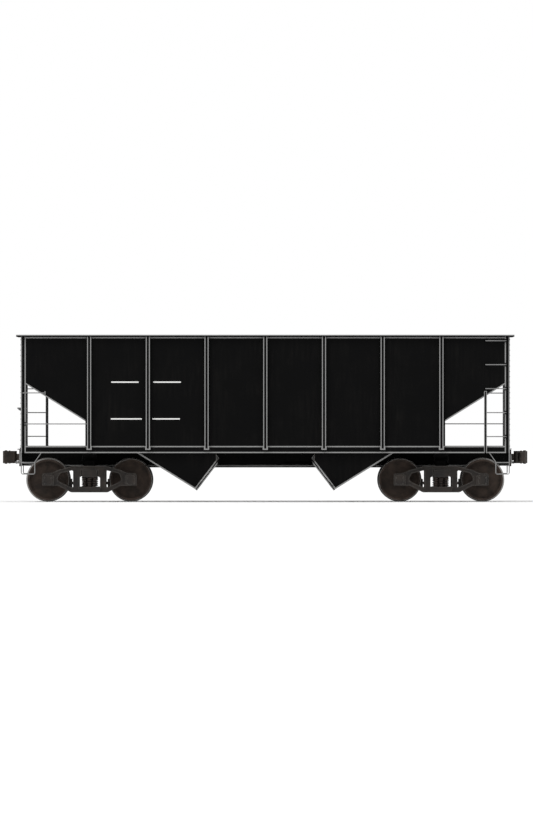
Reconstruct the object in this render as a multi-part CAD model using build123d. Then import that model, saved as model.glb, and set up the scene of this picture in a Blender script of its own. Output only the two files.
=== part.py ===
from build123d import *
import math
import os

# Two-bay open-top hopper wagon: riveted steel body on two four-wheel bogies.
# Millimetres. X runs along the wagon, Y across it, Z up. Z = 0 is the level of the wheel flanges' tips,
# so the rail head is FLANGE_HEIGHT above it. The origin is under the middle of the body.
# The brake end is at -X. Ladders stand at the (+X, -Y) and (-X, +Y) corners.

# Flats on what is round and repeats: thin bars, pins and springs, drums, and the brake wheel's rim
BAR_SIDES = 8
PIN_SIDES = 12
DRUM_SIDES = 24
RIM_SIDES = 36

# Levels
FLANGE_HEIGHT = 26
TREAD_RADIUS = 419
CENTRE_SILL_BOTTOM = 724
SIDE_SILL_BOTTOM = 987
COUPLER_HEIGHT = 902

# Body shell
BODY_LENGTH = 9880
BODY_HEIGHT = 2390
INSIDE_WIDTH = 2883
SHEET = 8
ANGLE = 12
COPING_OVERHANG = 93
COPING_WIDTH = 120
COPING_LIP = 40
CHORD_LEG = 75
SILL_LEG = 142
SILL_FOOT = 102
CORNER_LEG = 100

# Side stakes
END_BAY = 1382
POSTS_EACH_WAY = 3
POST_FACE = 80
POST_BASE = 90
POST_DEPTH = 98
POST_FLANGE = 32
POST_END_ABOVE_SILL = 65
POST_SHOE_WIDTH = 104
POST_SHOE_PROUD = 3
PANEL_GAP = 4
PANEL_FOOT = 40

# Load space
SLOPE_ANGLE = 31.8
TIP_TO_BOGIE = 2146
TIP_Z = 262
DOOR_ANGLE = 52.5
DOOR_RUN = 412
MOUTH_Z = 1070
RIDGE_RISE = 900
LEDGE_WIDTH = 141.5
LEDGE_RISE = 180
LEDGE_EDGE = 13
HOOD_RISE = 230
HOOD_DROP = 11
CHUTE_CLEARANCE = 16
TIE_BELOW_TOP = 477
TIE_RADIUS = 30
TIE_PLATE = 90

# Doors
HINGE_BACK = 40
HINGE_Z = 880
HINGE_RADIUS = 25
HINGE_PIN = 12
HINGE_INSET = 180
DOOR_DEPTH = 45
DOOR_GAP = 3
DOOR_PLATE = 8
DOOR_TOE = 10
DOOR_PANELS = 3
RUNNING_GAP = 0.3

# Underframe
WEB_INSIDE = 165
SILL_FLANGE_EDGE = 250
SILL_DEPTH = 327
END_SILL_HEIGHT = 152
END_POST_Y = 520
END_POST_WIDTH = 84
END_RAIL_HEIGHT = 90
END_RAIL_DEPTH = 45
BRACE_WIDTH = 90
STEP_RAIL_DROP = 505
STRIKER_DEPTH = 50
BOLSTER_WIDTH = 300
JACK_PAD_LENGTH = 200

# Bogies; the side frame's tables hold (x from the axle toward the bogie's ends, z)
WHEELBASE = 1676
JOURNAL_Y = 978
WHEEL_BACK = 676.5
RIM_WIDTH = 140
RIM_INSIDE = 375
HUB_RADIUS = 138
AXLE_RADIUS = 84
JOURNAL_RADIUS = 70
FRAME_THICKNESS = 110
FRAME_ARCH = [(-508, 726), (-198, 640), (-93, 590), (107, 575), (122, 540), (122, 330)]
FRAME_BELLY = [(-108, 322), (-198, 330), (-468, 190)]
FRAME_WINDOW = [(-508, 640), (-238, 575), (-183, 440), (-238, 400), (-508, 275)]
FRAME_CORNER = 14
WINDOW_CORNER = 22
COLUMN_INSIDE = 215
COLUMN_HEAD = 165
BOX_BACK = 88
BOX_FRONT = 100
BOX_LID = 14
SPRING_RADIUS = 48
SPRING_SEAT = 300
SPRING_TOP = 500
SPRING_PLACES = [(-110, 52), (0, 52), (110, 52), (-55, -52), (55, -52)]
CENTRE_PLATE_LENGTH = 400
CENTRE_PLATE_WIDTH = 390
CENTRE_PLATE_RADIUS = 150
CENTRE_PLATE_Z = 680
BOWL_RADIUS = 182
BOLSTER_TOP = 655
SIDE_BEARING_Y = 635
SIDE_BEARING_Z = 700
SIDE_BEARING_GAP = 6

# Couplers: distances in a coupler's own plan are measured from its pivot
COUPLER_SET_BACK = 340
SHANK_WIDTH = 126
SHANK_HEIGHT = 136
SHANK_LENGTH = 460
PIVOT_PIN = 28
GEAR_LENGTH = 530
GEAR_TO_PIVOT = 70
GEAR_LUG_REACH = 50
GEAR_LUG_HALF = 60
GEAR_LUG_HEIGHT = 94
HEAD_HALF = 125
EAR_HEIGHT = 32
KNUCKLE_HALF = 139
KNUCKLE_HUB = 45
KNUCKLE_PIN = 18
KNUCKLE_X = 590
KNUCKLE_Y = -112

# Safety appliances
STEP_BAR = 20
STEP_MID_DROP = 182
STEP_LOW_DROP = 434
STEP_INSET = 292
STEP_ROOT_INSET = 420
STEP_BEND = 45
RUNG_RADIUS = 10
RUNG_LEG = 9
RUNG_END = 12
RUNG_FOOT = 15
RUNG_PITCH = 484
RUNG_BELOW_TOP = 121
LADDER_INSET = 491
LADDER_STILE = 56
LADDER_OVER_SLOPE = 94
GRAB_OVER_SLOPE = 57
END_STILE_INSET = 461.5
STANDOFF = 62
RAIL_OVER_SILL = 588
UNCOUPLER_OUT = 20
UNCOUPLER_BELOW_SILL = 30
UNCOUPLER_ROOT_Y = 260
UNCOUPLER_GRIP_INSET = 131.5

# Brake gear
BED_LENGTH = 560
BED_HALF = 400
ROD_END_TO_BOGIE = 858
ROD_Y = 215
LEVER_X = 340
CYLINDER_LENGTH = 460
CYLINDER_RADIUS = 130
RESERVOIR_LENGTH = 520
RESERVOIR_RADIUS = 135
TANK_LIFT = 30
BRAKE_WHEEL_Y = 150
BRAKE_WHEEL_DROP = 577
BRAKE_WHEEL_RADIUS = 279
BRAKE_WHEEL_RIM = 24
BRAKE_STEM_INSET = 44
PIPE_RADIUS = 17
PIPE_Y = 225
PIPE_BEND_INSET = 440
PIPE_BEND_RUN = 200
PIPE_CROSS_INSET = 590
PIPE_CROSS_RUN = 400
PIPE_HANGER_TO_BOGIE = 958
COCK_Y = 350
COCK_Z = 800

# Sizes worked out from those above
HALF_LENGTH = BODY_LENGTH / 2
TOP = SIDE_SILL_BOTTOM + BODY_HEIGHT
WALL_IN = INSIDE_WIDTH / 2
WALL_OUT = WALL_IN + SHEET
FACE = WALL_OUT + ANGLE
CROWN = WALL_OUT + POST_DEPTH
CORNER = FACE - CORNER_LEG
END_OUTER = HALF_LENGTH - CORNER_LEG
END_INNER = END_OUTER - SHEET
BOGIE_X = HALF_LENGTH - END_BAY
POST_PITCH = BOGIE_X / POSTS_EACH_WAY
POST_PLACES = [n * POST_PITCH for n in range(-POSTS_EACH_WAY, POSTS_EACH_WAY + 1)]
AXLE_HEIGHT = TREAD_RADIUS + FLANGE_HEIGHT
SILL_WEB = WEB_INSIDE + ANGLE
SILL_TOP = CENTRE_SILL_BOTTOM + SILL_DEPTH
SLOPE = math.tan(math.radians(SLOPE_ANGLE))
STEEP = math.tan(math.radians(DOOR_ANGLE))
TIP_X = BOGIE_X - TIP_TO_BOGIE
HEADER_X = TIP_X - DOOR_RUN
HEADER_Z = TIP_Z + DOOR_RUN * STEEP
RIDGE_TOP = MOUTH_Z + RIDGE_RISE
SLOPE_DROP = SHEET / math.cos(math.atan(SLOPE))
RIDGE_DROP = SHEET / math.cos(math.atan(RIDGE_RISE / HEADER_X))
MOUTH_X = TIP_X + (MOUTH_Z - TIP_Z) / SLOPE
LIP_X = TIP_X + SLOPE_DROP / (SLOPE + STEEP)
LIP_Z = TIP_Z - (LIP_X - TIP_X) * STEEP
CHUTE_OUTER = WALL_IN - LEDGE_WIDTH
CHUTE_INNER = SILL_FLANGE_EDGE + CHUTE_CLEARANCE
DOOR_LENGTH = DOOR_RUN / math.cos(math.radians(DOOR_ANGLE))
HINGE_X = HEADER_X - HINGE_BACK
HINGE_PLACES = (CHUTE_INNER + HINGE_INSET, CHUTE_OUTER - HINGE_INSET)
END_SILL_TOP = SIDE_SILL_BOTTOM + END_SILL_HEIGHT
LADDER_X = HALF_LENGTH - LADDER_INSET
PIVOT_X = HALF_LENGTH - COUPLER_SET_BACK


def slope_z(x):
    """Height of the slope sheet's upper face at x, on the +X side."""
    return TIP_Z + (x - TIP_X) * SLOPE


LADDER_TOP = slope_z(LADDER_X) + LADDER_OVER_SLOPE
KNEE_Z = slope_z(END_INNER) - END_RAIL_HEIGHT
STEP_RAIL_Z = KNEE_Z - STEP_RAIL_DROP
BOARD_Z = STEP_RAIL_Z + END_RAIL_HEIGHT


def outline(points):
    """A flat outline through points, always turning the same way."""
    area = sum(a[0] * b[1] - b[0] * a[1] for a, b in zip(points, points[1:] + points[:1]))
    return Polygon(*(points if area > 0 else points[::-1]), align=None)


def along_x(points, x0, x1):
    """A bar along X from an outline of (y, z) points."""
    return Pos(x0, 0, 0) * extrude(Plane.YZ * outline(points), amount=x1 - x0)


def along_y(points, y0, y1):
    """A plate or bar across the wagon from an outline of (x, z) points."""
    return Pos(0, y1, 0) * extrude(Plane.XZ * outline(points), amount=y1 - y0)


def along_z(points, z0, z1):
    """An upright bar from an outline of (x, y) points."""
    return Pos(0, 0, z0) * extrude(outline(points), amount=z1 - z0)


def block(x0, x1, y0, y1, z0, z1):
    """A rectangular piece between two corners."""
    low = (Align.MIN, Align.MIN, Align.MIN)
    return Pos(x0, y0, z0) * Box(x1 - x0, y1 - y0, z1 - z0, align=low)


def disc(x, y, z, radius, height):
    """An upright round piece standing on z."""
    return Pos(x, y, z) * Cylinder(radius, height, align=(Align.CENTER, Align.CENTER, Align.MIN))


def between(start, end, sketch):
    """A straight bar of the sketch's section between two points."""
    a, b = Vector(*start), Vector(*end)
    return Plane(origin=a, z_dir=b - a) * extrude(sketch, amount=(b - a).length)


def rod(start, end, radius):
    """A round bar between two points."""
    return between(start, end, Circle(radius))


def bar(start, end, radius, sides=BAR_SIDES):
    """A round bar in flats between two points."""
    return between(start, end, RegularPolygon(radius, sides))


def pin_section(radius):
    """The section of a pin or hub, its corners at the radius."""
    return RegularPolygon(radius, PIN_SIDES)


def bore_section(radius):
    """The section of a pin's hole, whose flats clear the pin however it is turned."""
    return RegularPolygon(radius + RUNNING_GAP, PIN_SIDES, major_radius=False)


def upright(x, y, z, section, height):
    """A section standing on z."""
    return Pos(x, y, z) * extrude(section, amount=height)


def joined(shapes):
    """One piece out of several that meet."""
    whole = shapes[0]
    for shape in shapes[1:]:
        whole += shape
    return whole


def far(shape):
    """The same piece at the other end, as seen in a mirror across the wagon's middle."""
    return mirror(shape, about=Plane.YZ)


def near(shape):
    """The same piece on the other side, as seen in a mirror along the wagon's middle."""
    return mirror(shape, about=Plane.XZ)


def turned(shape):
    """The same piece at the opposite corner, turned half round."""
    return Rot(0, 0, 180) * shape


def both_ends(shape):
    return [shape, far(shape)]


def both_sides(shape):
    return [shape, near(shape)]


def four(shape):
    """A piece at all four corners."""
    return both_ends(shape) + [near(s) for s in both_ends(shape)]


def near_and_turned(shapes):
    """Pieces at the near right corner and, turned half round, at the far left one."""
    right = [near(s) for s in shapes]
    return right + [turned(s) for s in right]


def two_sided(points):
    """A closed outline from the points of its right half, listed from the bottom up."""
    return points + [(-a, b) for a, b in reversed(points)]


def outside_ledge():
    """The space outboard of the ledges and chute walls, on the +Y side, which the load never fills."""
    wide, high = WALL_IN + LEDGE_WIDTH, MOUTH_Z + LEDGE_RISE
    shape = [(CHUTE_OUTER, 0), (CHUTE_OUTER, MOUTH_Z), (WALL_IN, high), (wide, high), (wide, 0)]
    return along_x(shape, -HALF_LENGTH, HALF_LENGTH)


def load_region(skins):
    """The space over one slope sheet and its half of the ridge; skins 1 takes in the sheets too."""
    under, ridge_under = skins * SLOPE_DROP, skins * RIDGE_DROP
    ridge = [(0, RIDGE_TOP - ridge_under), (HEADER_X, MOUTH_Z - ridge_under)]
    slope = [(MOUTH_X, MOUTH_Z - under), (END_INNER, slope_z(END_INNER) - under)]
    return along_y(ridge + slope + [(END_INNER, TOP), (0, TOP)], -WALL_IN, WALL_IN)


# Side panels: a plate between each pair of stakes, and a slanted one over each slope sheet.
def side_panels():
    top, bottom, gap = TOP - ANGLE, SIDE_SILL_BOTTOM + PANEL_FOOT, PANEL_GAP / 2
    panels = []
    for a, b in zip(POST_PLACES, POST_PLACES[1:]):
        panels.append(block(a + gap, b - gap, WALL_IN, WALL_OUT, bottom, top))
    start, stop = POST_PLACES[-1] + gap, HALF_LENGTH - ANGLE
    low, high = slope_z(start) - SLOPE_DROP, slope_z(END_OUTER) - SLOPE_DROP
    shape = [(start, low), (END_OUTER, high), (stop, high), (stop, top), (start, top)]
    return panels + both_ends(along_y(shape, WALL_IN, WALL_OUT))


# Side stake: a pressed hat section notched over the chord and the sill, with a shoe at its foot.
def side_post(x):
    face, base = POST_FACE / 2, POST_BASE / 2
    toe = base + POST_FLANGE
    right = [(toe, WALL_OUT), (toe, WALL_OUT + SHEET), (base, WALL_OUT + SHEET), (face, CROWN)]
    hollow = [(face - SHEET, CROWN - SHEET), (base - SHEET, WALL_OUT)]
    ring = two_sided(right) + [(-a, b) for a, b in reversed(hollow)] + hollow
    bottom, sill_edge = SIDE_SILL_BOTTOM + POST_END_ABOVE_SILL, SIDE_SILL_BOTTOM + SILL_LEG
    post = along_z([(x + a, b) for a, b in ring], bottom, TOP - ANGLE)
    post -= block(x - toe, x + toe, WALL_OUT, FACE, bottom, sill_edge)
    post -= block(x - toe, x + toe, WALL_OUT, FACE, TOP - CHORD_LEG, TOP)
    half, front = POST_SHOE_WIDTH / 2, CROWN + POST_SHOE_PROUD
    shoe = block(x - half, x + half, FACE, front, bottom, sill_edge)
    shoe -= block(x - half + SHEET, x + half - SHEET, FACE, front - SHEET, bottom + SHEET, sill_edge)
    return post + shoe


def side_posts():
    return [side_post(x) for x in POST_PLACES]


# Corner posts: angles from the side sill's level to the coping.
def corner_posts():
    x0, x1 = END_OUTER, HALF_LENGTH
    outer = [(x0, FACE), (x1, FACE), (x1, CORNER)]
    inner = [(x1 - ANGLE, CORNER), (x1 - ANGLE, WALL_OUT), (x0, WALL_OUT)]
    return four(along_z(outer + inner, SIDE_SILL_BOTTOM, TOP - ANGLE))


# Side sills: angles with the long leg upright, between the corner posts.
def side_sills():
    z0, z1, toe = SIDE_SILL_BOTTOM, SIDE_SILL_BOTTOM + SILL_LEG, FACE - SILL_FOOT
    outer = [(toe, z0), (FACE, z0), (FACE, z1)]
    inner = [(WALL_OUT, z1), (WALL_OUT, z0 + ANGLE), (toe, z0 + ANGLE)]
    return both_sides(along_x(outer + inner, -END_OUTER, END_OUTER))


def coping_section(inside, edge):
    """A flange from inside to edge with a turned-down lip, as (across, z) points."""
    low, under = TOP - COPING_LIP, TOP - ANGLE
    lip = [(edge - ANGLE, under), (edge - ANGLE, low), (edge, low)]
    return [(inside, under)] + lip + [(edge, TOP), (inside, TOP)]


# Copings round the top, with the chord's leg down the outside of the panels.
def side_coping():
    end, edge = HALF_LENGTH + COPING_OVERHANG, WALL_IN + COPING_WIDTH
    flange = along_x(coping_section(WALL_IN, edge), -end, end)
    leg = block(-END_OUTER, END_OUTER, WALL_OUT, FACE, TOP - CHORD_LEG, TOP - ANGLE)
    tip = block(end - ANGLE, end, WALL_IN, edge - ANGLE, TOP - COPING_LIP, TOP - ANGLE)
    return joined([flange, leg, tip, far(tip)])


def end_coping():
    return along_y(coping_section(END_INNER, HALF_LENGTH + COPING_OVERHANG), -WALL_IN, WALL_IN)


# End sheets: upright plates above the slope sheets.
def end_sheet():
    return block(END_INNER, END_OUTER, -WALL_IN, WALL_IN, slope_z(END_INNER) - SLOPE_DROP, TOP - ANGLE)


# Slope sheet: full width under the end, split into two legs where it runs down into the chutes.
def slope_sheet():
    upper = [(TIP_X, TIP_Z), (END_INNER, slope_z(END_INNER))]
    lower = [(END_INNER, slope_z(END_INNER) - SLOPE_DROP), (LIP_X, LIP_Z)]
    sheet = along_y(upper + lower, -WALL_IN, WALL_IN)
    sheet -= outside_ledge()
    sheet -= near(outside_ledge())
    return sheet - block(0, HALF_LENGTH, -CHUTE_INNER, CHUTE_INNER, 0, MOUTH_Z)


# Cross ridge between the two bays: two sheets leaning together.
def cross_ridge():
    half = [(HEADER_X, MOUTH_Z), (0, RIDGE_TOP)]
    under = [(0, RIDGE_TOP - RIDGE_DROP), (HEADER_X, MOUTH_Z - RIDGE_DROP)]
    shape = [(-HEADER_X, MOUTH_Z - RIDGE_DROP), (-HEADER_X, MOUTH_Z)] + half[::-1] + under[::-1]
    ridge = along_y(shape, -WALL_IN, WALL_IN)
    return ridge - outside_ledge() - near(outside_ledge())


# Door headers: upright plates under the foot of the ridge.
def headers():
    top = MOUTH_Z - RIDGE_DROP
    return four(block(HEADER_X - SHEET, HEADER_X, CHUTE_INNER, CHUTE_OUTER, HEADER_Z, top))


# Chute walls: upright plates beside the centre sill and inboard of each side sill.
def chute_walls():
    door_side = [(LIP_X, LIP_Z), (HEADER_X, HEADER_Z), (HEADER_X, MOUTH_Z)]
    shape = door_side + [(MOUTH_X, MOUTH_Z), (MOUTH_X, MOUTH_Z - SLOPE_DROP)]
    outer = along_y(shape, CHUTE_OUTER, CHUTE_OUTER + SHEET)
    inner = along_y(shape, CHUTE_INNER - SHEET, CHUTE_INNER)
    return four(outer) + four(inner)


# Ledges over the side sills, from the side panels down to the chute walls.
def ledges():
    high = MOUTH_Z + LEDGE_RISE
    foot = CHUTE_OUTER + LEDGE_EDGE * LEDGE_WIDTH / LEDGE_RISE
    shape = [(CHUTE_OUTER, MOUTH_Z), (WALL_IN, high), (WALL_IN, high - LEDGE_EDGE), (foot, MOUTH_Z)]
    return four(along_x(shape, 0, END_INNER) & load_region(1))


# Hood: a small roof over the centre sill in each bay.
def hoods():
    ridge = MOUTH_Z + HOOD_RISE
    inside = CHUTE_INNER * (1 - HOOD_DROP / HOOD_RISE)
    outer = [(-CHUTE_INNER, MOUTH_Z), (0, ridge), (CHUTE_INNER, MOUTH_Z)]
    inner = [(inside, MOUTH_Z), (0, ridge - HOOD_DROP), (-inside, MOUTH_Z)]
    return both_ends(along_x(outer + inner, 0, END_INNER) & load_region(0))


# Centre sill: two Z sections welded along the top, open below.
def centre_sill():
    z0, z1 = CENTRE_SILL_BOTTOM, SILL_TOP
    outer = [(SILL_FLANGE_EDGE, z0), (SILL_FLANGE_EDGE, z0 + ANGLE), (SILL_WEB, z0 + ANGLE), (SILL_WEB, z1)]
    inner = [(WEB_INSIDE, z1 - ANGLE), (WEB_INSIDE, z0)]
    ring = two_sided(outer) + [(-y, z) for y, z in reversed(inner)] + inner
    return along_x(ring, -HALF_LENGTH, HALF_LENGTH)


# End sills: channels between the corner posts, cut out over the centre sill.
def end_sill():
    x0, x1, z0, z1 = END_OUTER + SHEET, HALF_LENGTH, SIDE_SILL_BOTTOM, END_SILL_TOP
    outer = [(x0, z0), (x1, z0), (x1, z1), (x0, z1)]
    inner = [(x0, z1 - ANGLE), (x1 - ANGLE, z1 - ANGLE), (x1 - ANGLE, z0 + ANGLE), (x0, z0 + ANGLE)]
    channel = along_y(outer + inner, -CORNER, CORNER)
    return channel - block(0, HALF_LENGTH, -SILL_WEB, SILL_WEB, 0, SILL_TOP)


def end_rail(z):
    """A cross rail of the end frame between its two posts: an angle with its foot outward."""
    x0, x1, half = END_OUTER, END_OUTER + END_RAIL_DEPTH, END_POST_Y - END_POST_WIDTH / 2
    foot = [(x0, z), (x1, z), (x1, z + ANGLE), (x0 + ANGLE, z + ANGLE)]
    return along_y(foot + [(x0 + ANGLE, z + END_RAIL_HEIGHT), (x0, z + END_RAIL_HEIGHT)], -half, half)


# End frames: angle posts, diagonal braces and cross rails between the end sill and the coping.
def end_frame():
    x0, x1 = END_OUTER, HALF_LENGTH
    y0, y1 = END_POST_Y - END_POST_WIDTH / 2, END_POST_Y + END_POST_WIDTH / 2
    angle = [(x0, y0), (x1, y0), (x1, y1), (x1 - ANGLE, y1), (x1 - ANGLE, y0 + ANGLE), (x0, y0 + ANGLE)]
    root = y0 + ANGLE / 2
    foot = [(CORNER, END_SILL_TOP), (CORNER - BRACE_WIDTH, END_SILL_TOP)]
    brace = foot + [(root, KNEE_Z - BRACE_WIDTH), (root, KNEE_Z)]
    side = along_z(angle, END_SILL_TOP, TOP - ANGLE)
    side += along_x(brace, x0 + ANGLE, x0 + 2 * ANGLE)
    side += block(x0, x0 + ANGLE, y0, CORNER, KNEE_Z, KNEE_Z + END_RAIL_HEIGHT)
    return joined([side, end_rail(KNEE_Z), end_rail(STEP_RAIL_Z), near(side)])


# Striker: a casting round the coupler opening, with the carrier under the shank.
def striker():
    x0, x1 = HALF_LENGTH, HALF_LENGTH + STRIKER_DEPTH
    half, low, high = 225, CENTRE_SILL_BOTTOM - 9, SILL_TOP
    face = [(half - 50, low), (half, low + 60), (half, high - 50), (half - 50, high)]
    casting = along_x(two_sided(face), x0, x1)
    carrier = COUPLER_HEIGHT - SHANK_HEIGHT / 2 - RUNNING_GAP
    return casting - block(x0, x1, 60 - WEB_INSIDE - 10, WEB_INSIDE - 50, carrier, COUPLER_HEIGHT + 88)


# Body bolster: web, cover plates, side bearings and jacking pads, with a diaphragm up to the slope sheet.
def body_bolster():
    z0, z1, tip = CENTRE_SILL_BOTTOM + ANGLE, SIDE_SILL_BOTTOM + SILL_LEG - ANGLE, FACE - SILL_FOOT
    x0, x1, half, web = BOGIE_X - ANGLE / 2, BOGIE_X + ANGLE / 2, BOLSTER_WIDTH / 2, ANGLE / 2
    foot, panel = SIDE_SILL_BOTTOM + ANGLE, SIDE_SILL_BOTTOM + PANEL_FOOT
    sill_side = [(0, SILL_TOP), (SILL_WEB, SILL_TOP), (SILL_WEB, z0), (SILL_FLANGE_EDGE, z0)]
    under = sill_side + [(tip, SIDE_SILL_BOTTOM)]
    over = [(tip, foot), (WALL_OUT, foot), (WALL_OUT, panel), (WALL_IN, panel), (WALL_IN, z1), (0, z1)]
    side = along_x(under + over, x0, x1)
    cover = [(SILL_FLANGE_EDGE, z0), (tip, SIDE_SILL_BOTTOM), (tip, foot), (SILL_FLANGE_EDGE, z0 + ANGLE)]
    side += along_x(cover, BOGIE_X - half, BOGIE_X + half)
    rise = (SIDE_SILL_BOTTOM - z0) / (tip - SILL_FLANGE_EDGE)
    cover_z = z0 + (SIDE_BEARING_Y - SILL_FLANGE_EDGE) * rise + 10
    bearing_z = SIDE_BEARING_Z + SIDE_BEARING_GAP
    side += block(BOGIE_X - 110, BOGIE_X + 110, SIDE_BEARING_Y - 50, SIDE_BEARING_Y + 50, bearing_z, cover_z)
    pad = JACK_PAD_LENGTH / 2
    low = SIDE_SILL_BOTTOM - ANGLE
    side += block(BOGIE_X - pad, BOGIE_X + pad, tip - 2 * ANGLE, FACE - ANGLE, low, SIDE_SILL_BOTTOM)
    beam = side + near(side)
    beam += block(BOGIE_X - half, BOGIE_X + half, -WALL_IN, WALL_IN, z1, z1 + ANGLE)
    slope, narrow, wide = slope_z(x0) - SLOPE_DROP, WALL_IN - 541.5, WALL_IN - 10
    diaphragm = [(-narrow, z1 + ANGLE), (narrow, z1 + ANGLE), (wide, slope), (-wide, slope)]
    return beam + along_x(diaphragm, x0, x0 + 2 * web)


# Body centre plate, on which the wagon rides.
def centre_plate():
    z, along, across = CENTRE_SILL_BOTTOM - ANGLE, CENTRE_PLATE_LENGTH / 2, CENTRE_PLATE_WIDTH / 2
    plate = block(BOGIE_X - along, BOGIE_X + along, -across, across, z, CENTRE_SILL_BOTTOM)
    return plate + disc(BOGIE_X, 0, CENTRE_PLATE_Z, CENTRE_PLATE_RADIUS, z - CENTRE_PLATE_Z)


# Wheelset: two wheels pressed on an axle, turned about Y.
def wheelset(x):
    back, front = WHEEL_BACK, WHEEL_BACK + RIM_WIDTH
    flange, web = TREAD_RADIUS + FLANGE_HEIGHT, WHEEL_BACK + 60
    hub, end = front + 15, JOURNAL_Y + 80
    rim = [(AXLE_RADIUS, back), (flange, back), (TREAD_RADIUS, back + 30), (TREAD_RADIUS, front)]
    plate = [(RIM_INSIDE, front), (RIM_INSIDE, web), (HUB_RADIUS, web), (HUB_RADIUS, hub)]
    half = rim + plate + [(JOURNAL_RADIUS, hub), (JOURNAL_RADIUS, end), (0, end)]
    ring = half + [(r, -y) for r, y in reversed(half)]
    return Pos(x, 0, AXLE_HEIGHT) * revolve(outline(ring), Axis.Y)


def journal_box(x):
    """A box over one journal, open toward the wheel, with a lid; the journal's top bears on its roof."""
    y0, y1 = JOURNAL_Y - BOX_BACK, JOURNAL_Y + BOX_FRONT
    shape = [(x - 115, 330), (x + 115, 330), (x + 115, 520), (x + 70, 568), (x - 70, 568), (x - 115, 520)]
    lid = [(x - 85, 350), (x + 85, 350), (x + 85, 505), (x + 55, 540), (x - 55, 540), (x - 85, 505)]
    return along_y(shape, y0, y1) + along_y(lid, y1, y1 + BOX_LID)


def journal_room(x):
    """The hollow inside a journal box."""
    side, roof = JOURNAL_RADIUS + 4, AXLE_HEIGHT + JOURNAL_RADIUS + RUNNING_GAP
    y0, y1 = JOURNAL_Y - BOX_BACK - 2, JOURNAL_Y + BOX_FRONT - 16
    return block(x - side, x + side, y0, y1, AXLE_HEIGHT - side, roof)


# Bogie side frame: one casting with windows, a spring opening and a journal box at each end.
def side_frame():
    w = WHEELBASE / 2
    y0, y1 = JOURNAL_Y - FRAME_THICKNESS / 2, JOURNAL_Y + FRAME_THICKNESS / 2
    half = [(w + x, z) for x, z in FRAME_ARCH + FRAME_BELLY]
    skin = chamfer(outline(half + [(-x, z) for x, z in reversed(half)]).vertices(), FRAME_CORNER)
    frame = Pos(0, y1, 0) * extrude(Plane.XZ * skin, amount=y1 - y0)
    seat = [(190, 190), (COLUMN_INSIDE + 15, SPRING_SEAT)]
    frame += along_y(two_sided(seat), y0 - 50, y1 + 50)
    opening = [(COLUMN_INSIDE, SPRING_SEAT), (COLUMN_INSIDE, 490), (COLUMN_HEAD, 515), (COLUMN_HEAD, 650)]
    frame -= along_y(two_sided(opening), y0, y1)
    window = chamfer(outline([(w + x, z) for x, z in FRAME_WINDOW]).vertices(), WINDOW_CORNER)
    hole = Pos(0, y1, 0) * extrude(Plane.XZ * window, amount=y1 - y0)
    frame -= hole
    frame -= far(hole)
    frame += journal_box(w)
    frame += journal_box(-w)
    return frame - journal_room(w) - journal_room(-w)


# Bogie bolster: a deep beam with the centre bowl and the side bearings on top.
def bogie_bolster():
    low, end = 430, JOURNAL_Y + 90
    belly = [(520, low), (JOURNAL_Y - 120, SPRING_TOP), (end, SPRING_TOP), (end, 640)]
    beam = along_x(two_sided(belly + [(JOURNAL_Y - 90, 640), (JOURNAL_Y - 160, BOLSTER_TOP)]), -150, 150)
    bowl = disc(0, 0, BOLSTER_TOP, BOWL_RADIUS, SIDE_BEARING_Z - BOLSTER_TOP)
    bowl -= disc(0, 0, CENTRE_PLATE_Z - RUNNING_GAP, CENTRE_PLATE_RADIUS + 5, 40)
    beam += bowl
    for y in (-SIDE_BEARING_Y, SIDE_BEARING_Y):
        beam += block(-110, 110, y - 50, y + 50, BOLSTER_TOP, SIDE_BEARING_Z)
    return beam


# Springs: plain drums of the coils' outer size, five on each side.
def springs():
    coils, height = [], SPRING_TOP - SPRING_SEAT
    for side in (-1, 1):
        for dx, dy in SPRING_PLACES:
            y = side * (JOURNAL_Y + dy)
            coils.append(upright(dx, y, SPRING_SEAT, pin_section(SPRING_RADIUS), height))
    return coils


# Brake beams: one before each axle, with a shoe for each wheel.
def brake_beams():
    w = WHEELBASE / 2
    inner = w - TREAD_RADIUS - 99
    outer = inner + 46
    reach = JOURNAL_Y - FRAME_THICKNESS / 2
    beam = block(inner, outer, -reach, reach, 350, 400)
    for y in (-WHEEL_BACK - 85, WHEEL_BACK + 85):
        face = [(outer + 44, 290), (outer + 54, AXLE_HEIGHT - 100), (outer + 54, 460)]
        shoe = along_y([(outer, 290)] + face + [(outer, 460)], y - 40, y + 40)
        shoe -= rod((w, y - 45, AXLE_HEIGHT), (w, y + 45, AXLE_HEIGHT), TREAD_RADIUS + 8)
        beam += shoe
    return both_ends(beam)


def door_along(distance, depth):
    """A point in the closed door's frame: distance up from its tip, depth outward from its seat."""
    a = math.radians(DOOR_ANGLE)
    x = TIP_X - distance * math.cos(a) - depth * math.sin(a)
    return (x, TIP_Z + distance * math.sin(a) - depth * math.cos(a))


def door_box(d0, d1, depth0, depth1):
    """The four corners of a rectangle in the closed door's frame."""
    return [door_along(d0, depth0), door_along(d1, depth0), door_along(d1, depth1), door_along(d0, depth1)]


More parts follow.
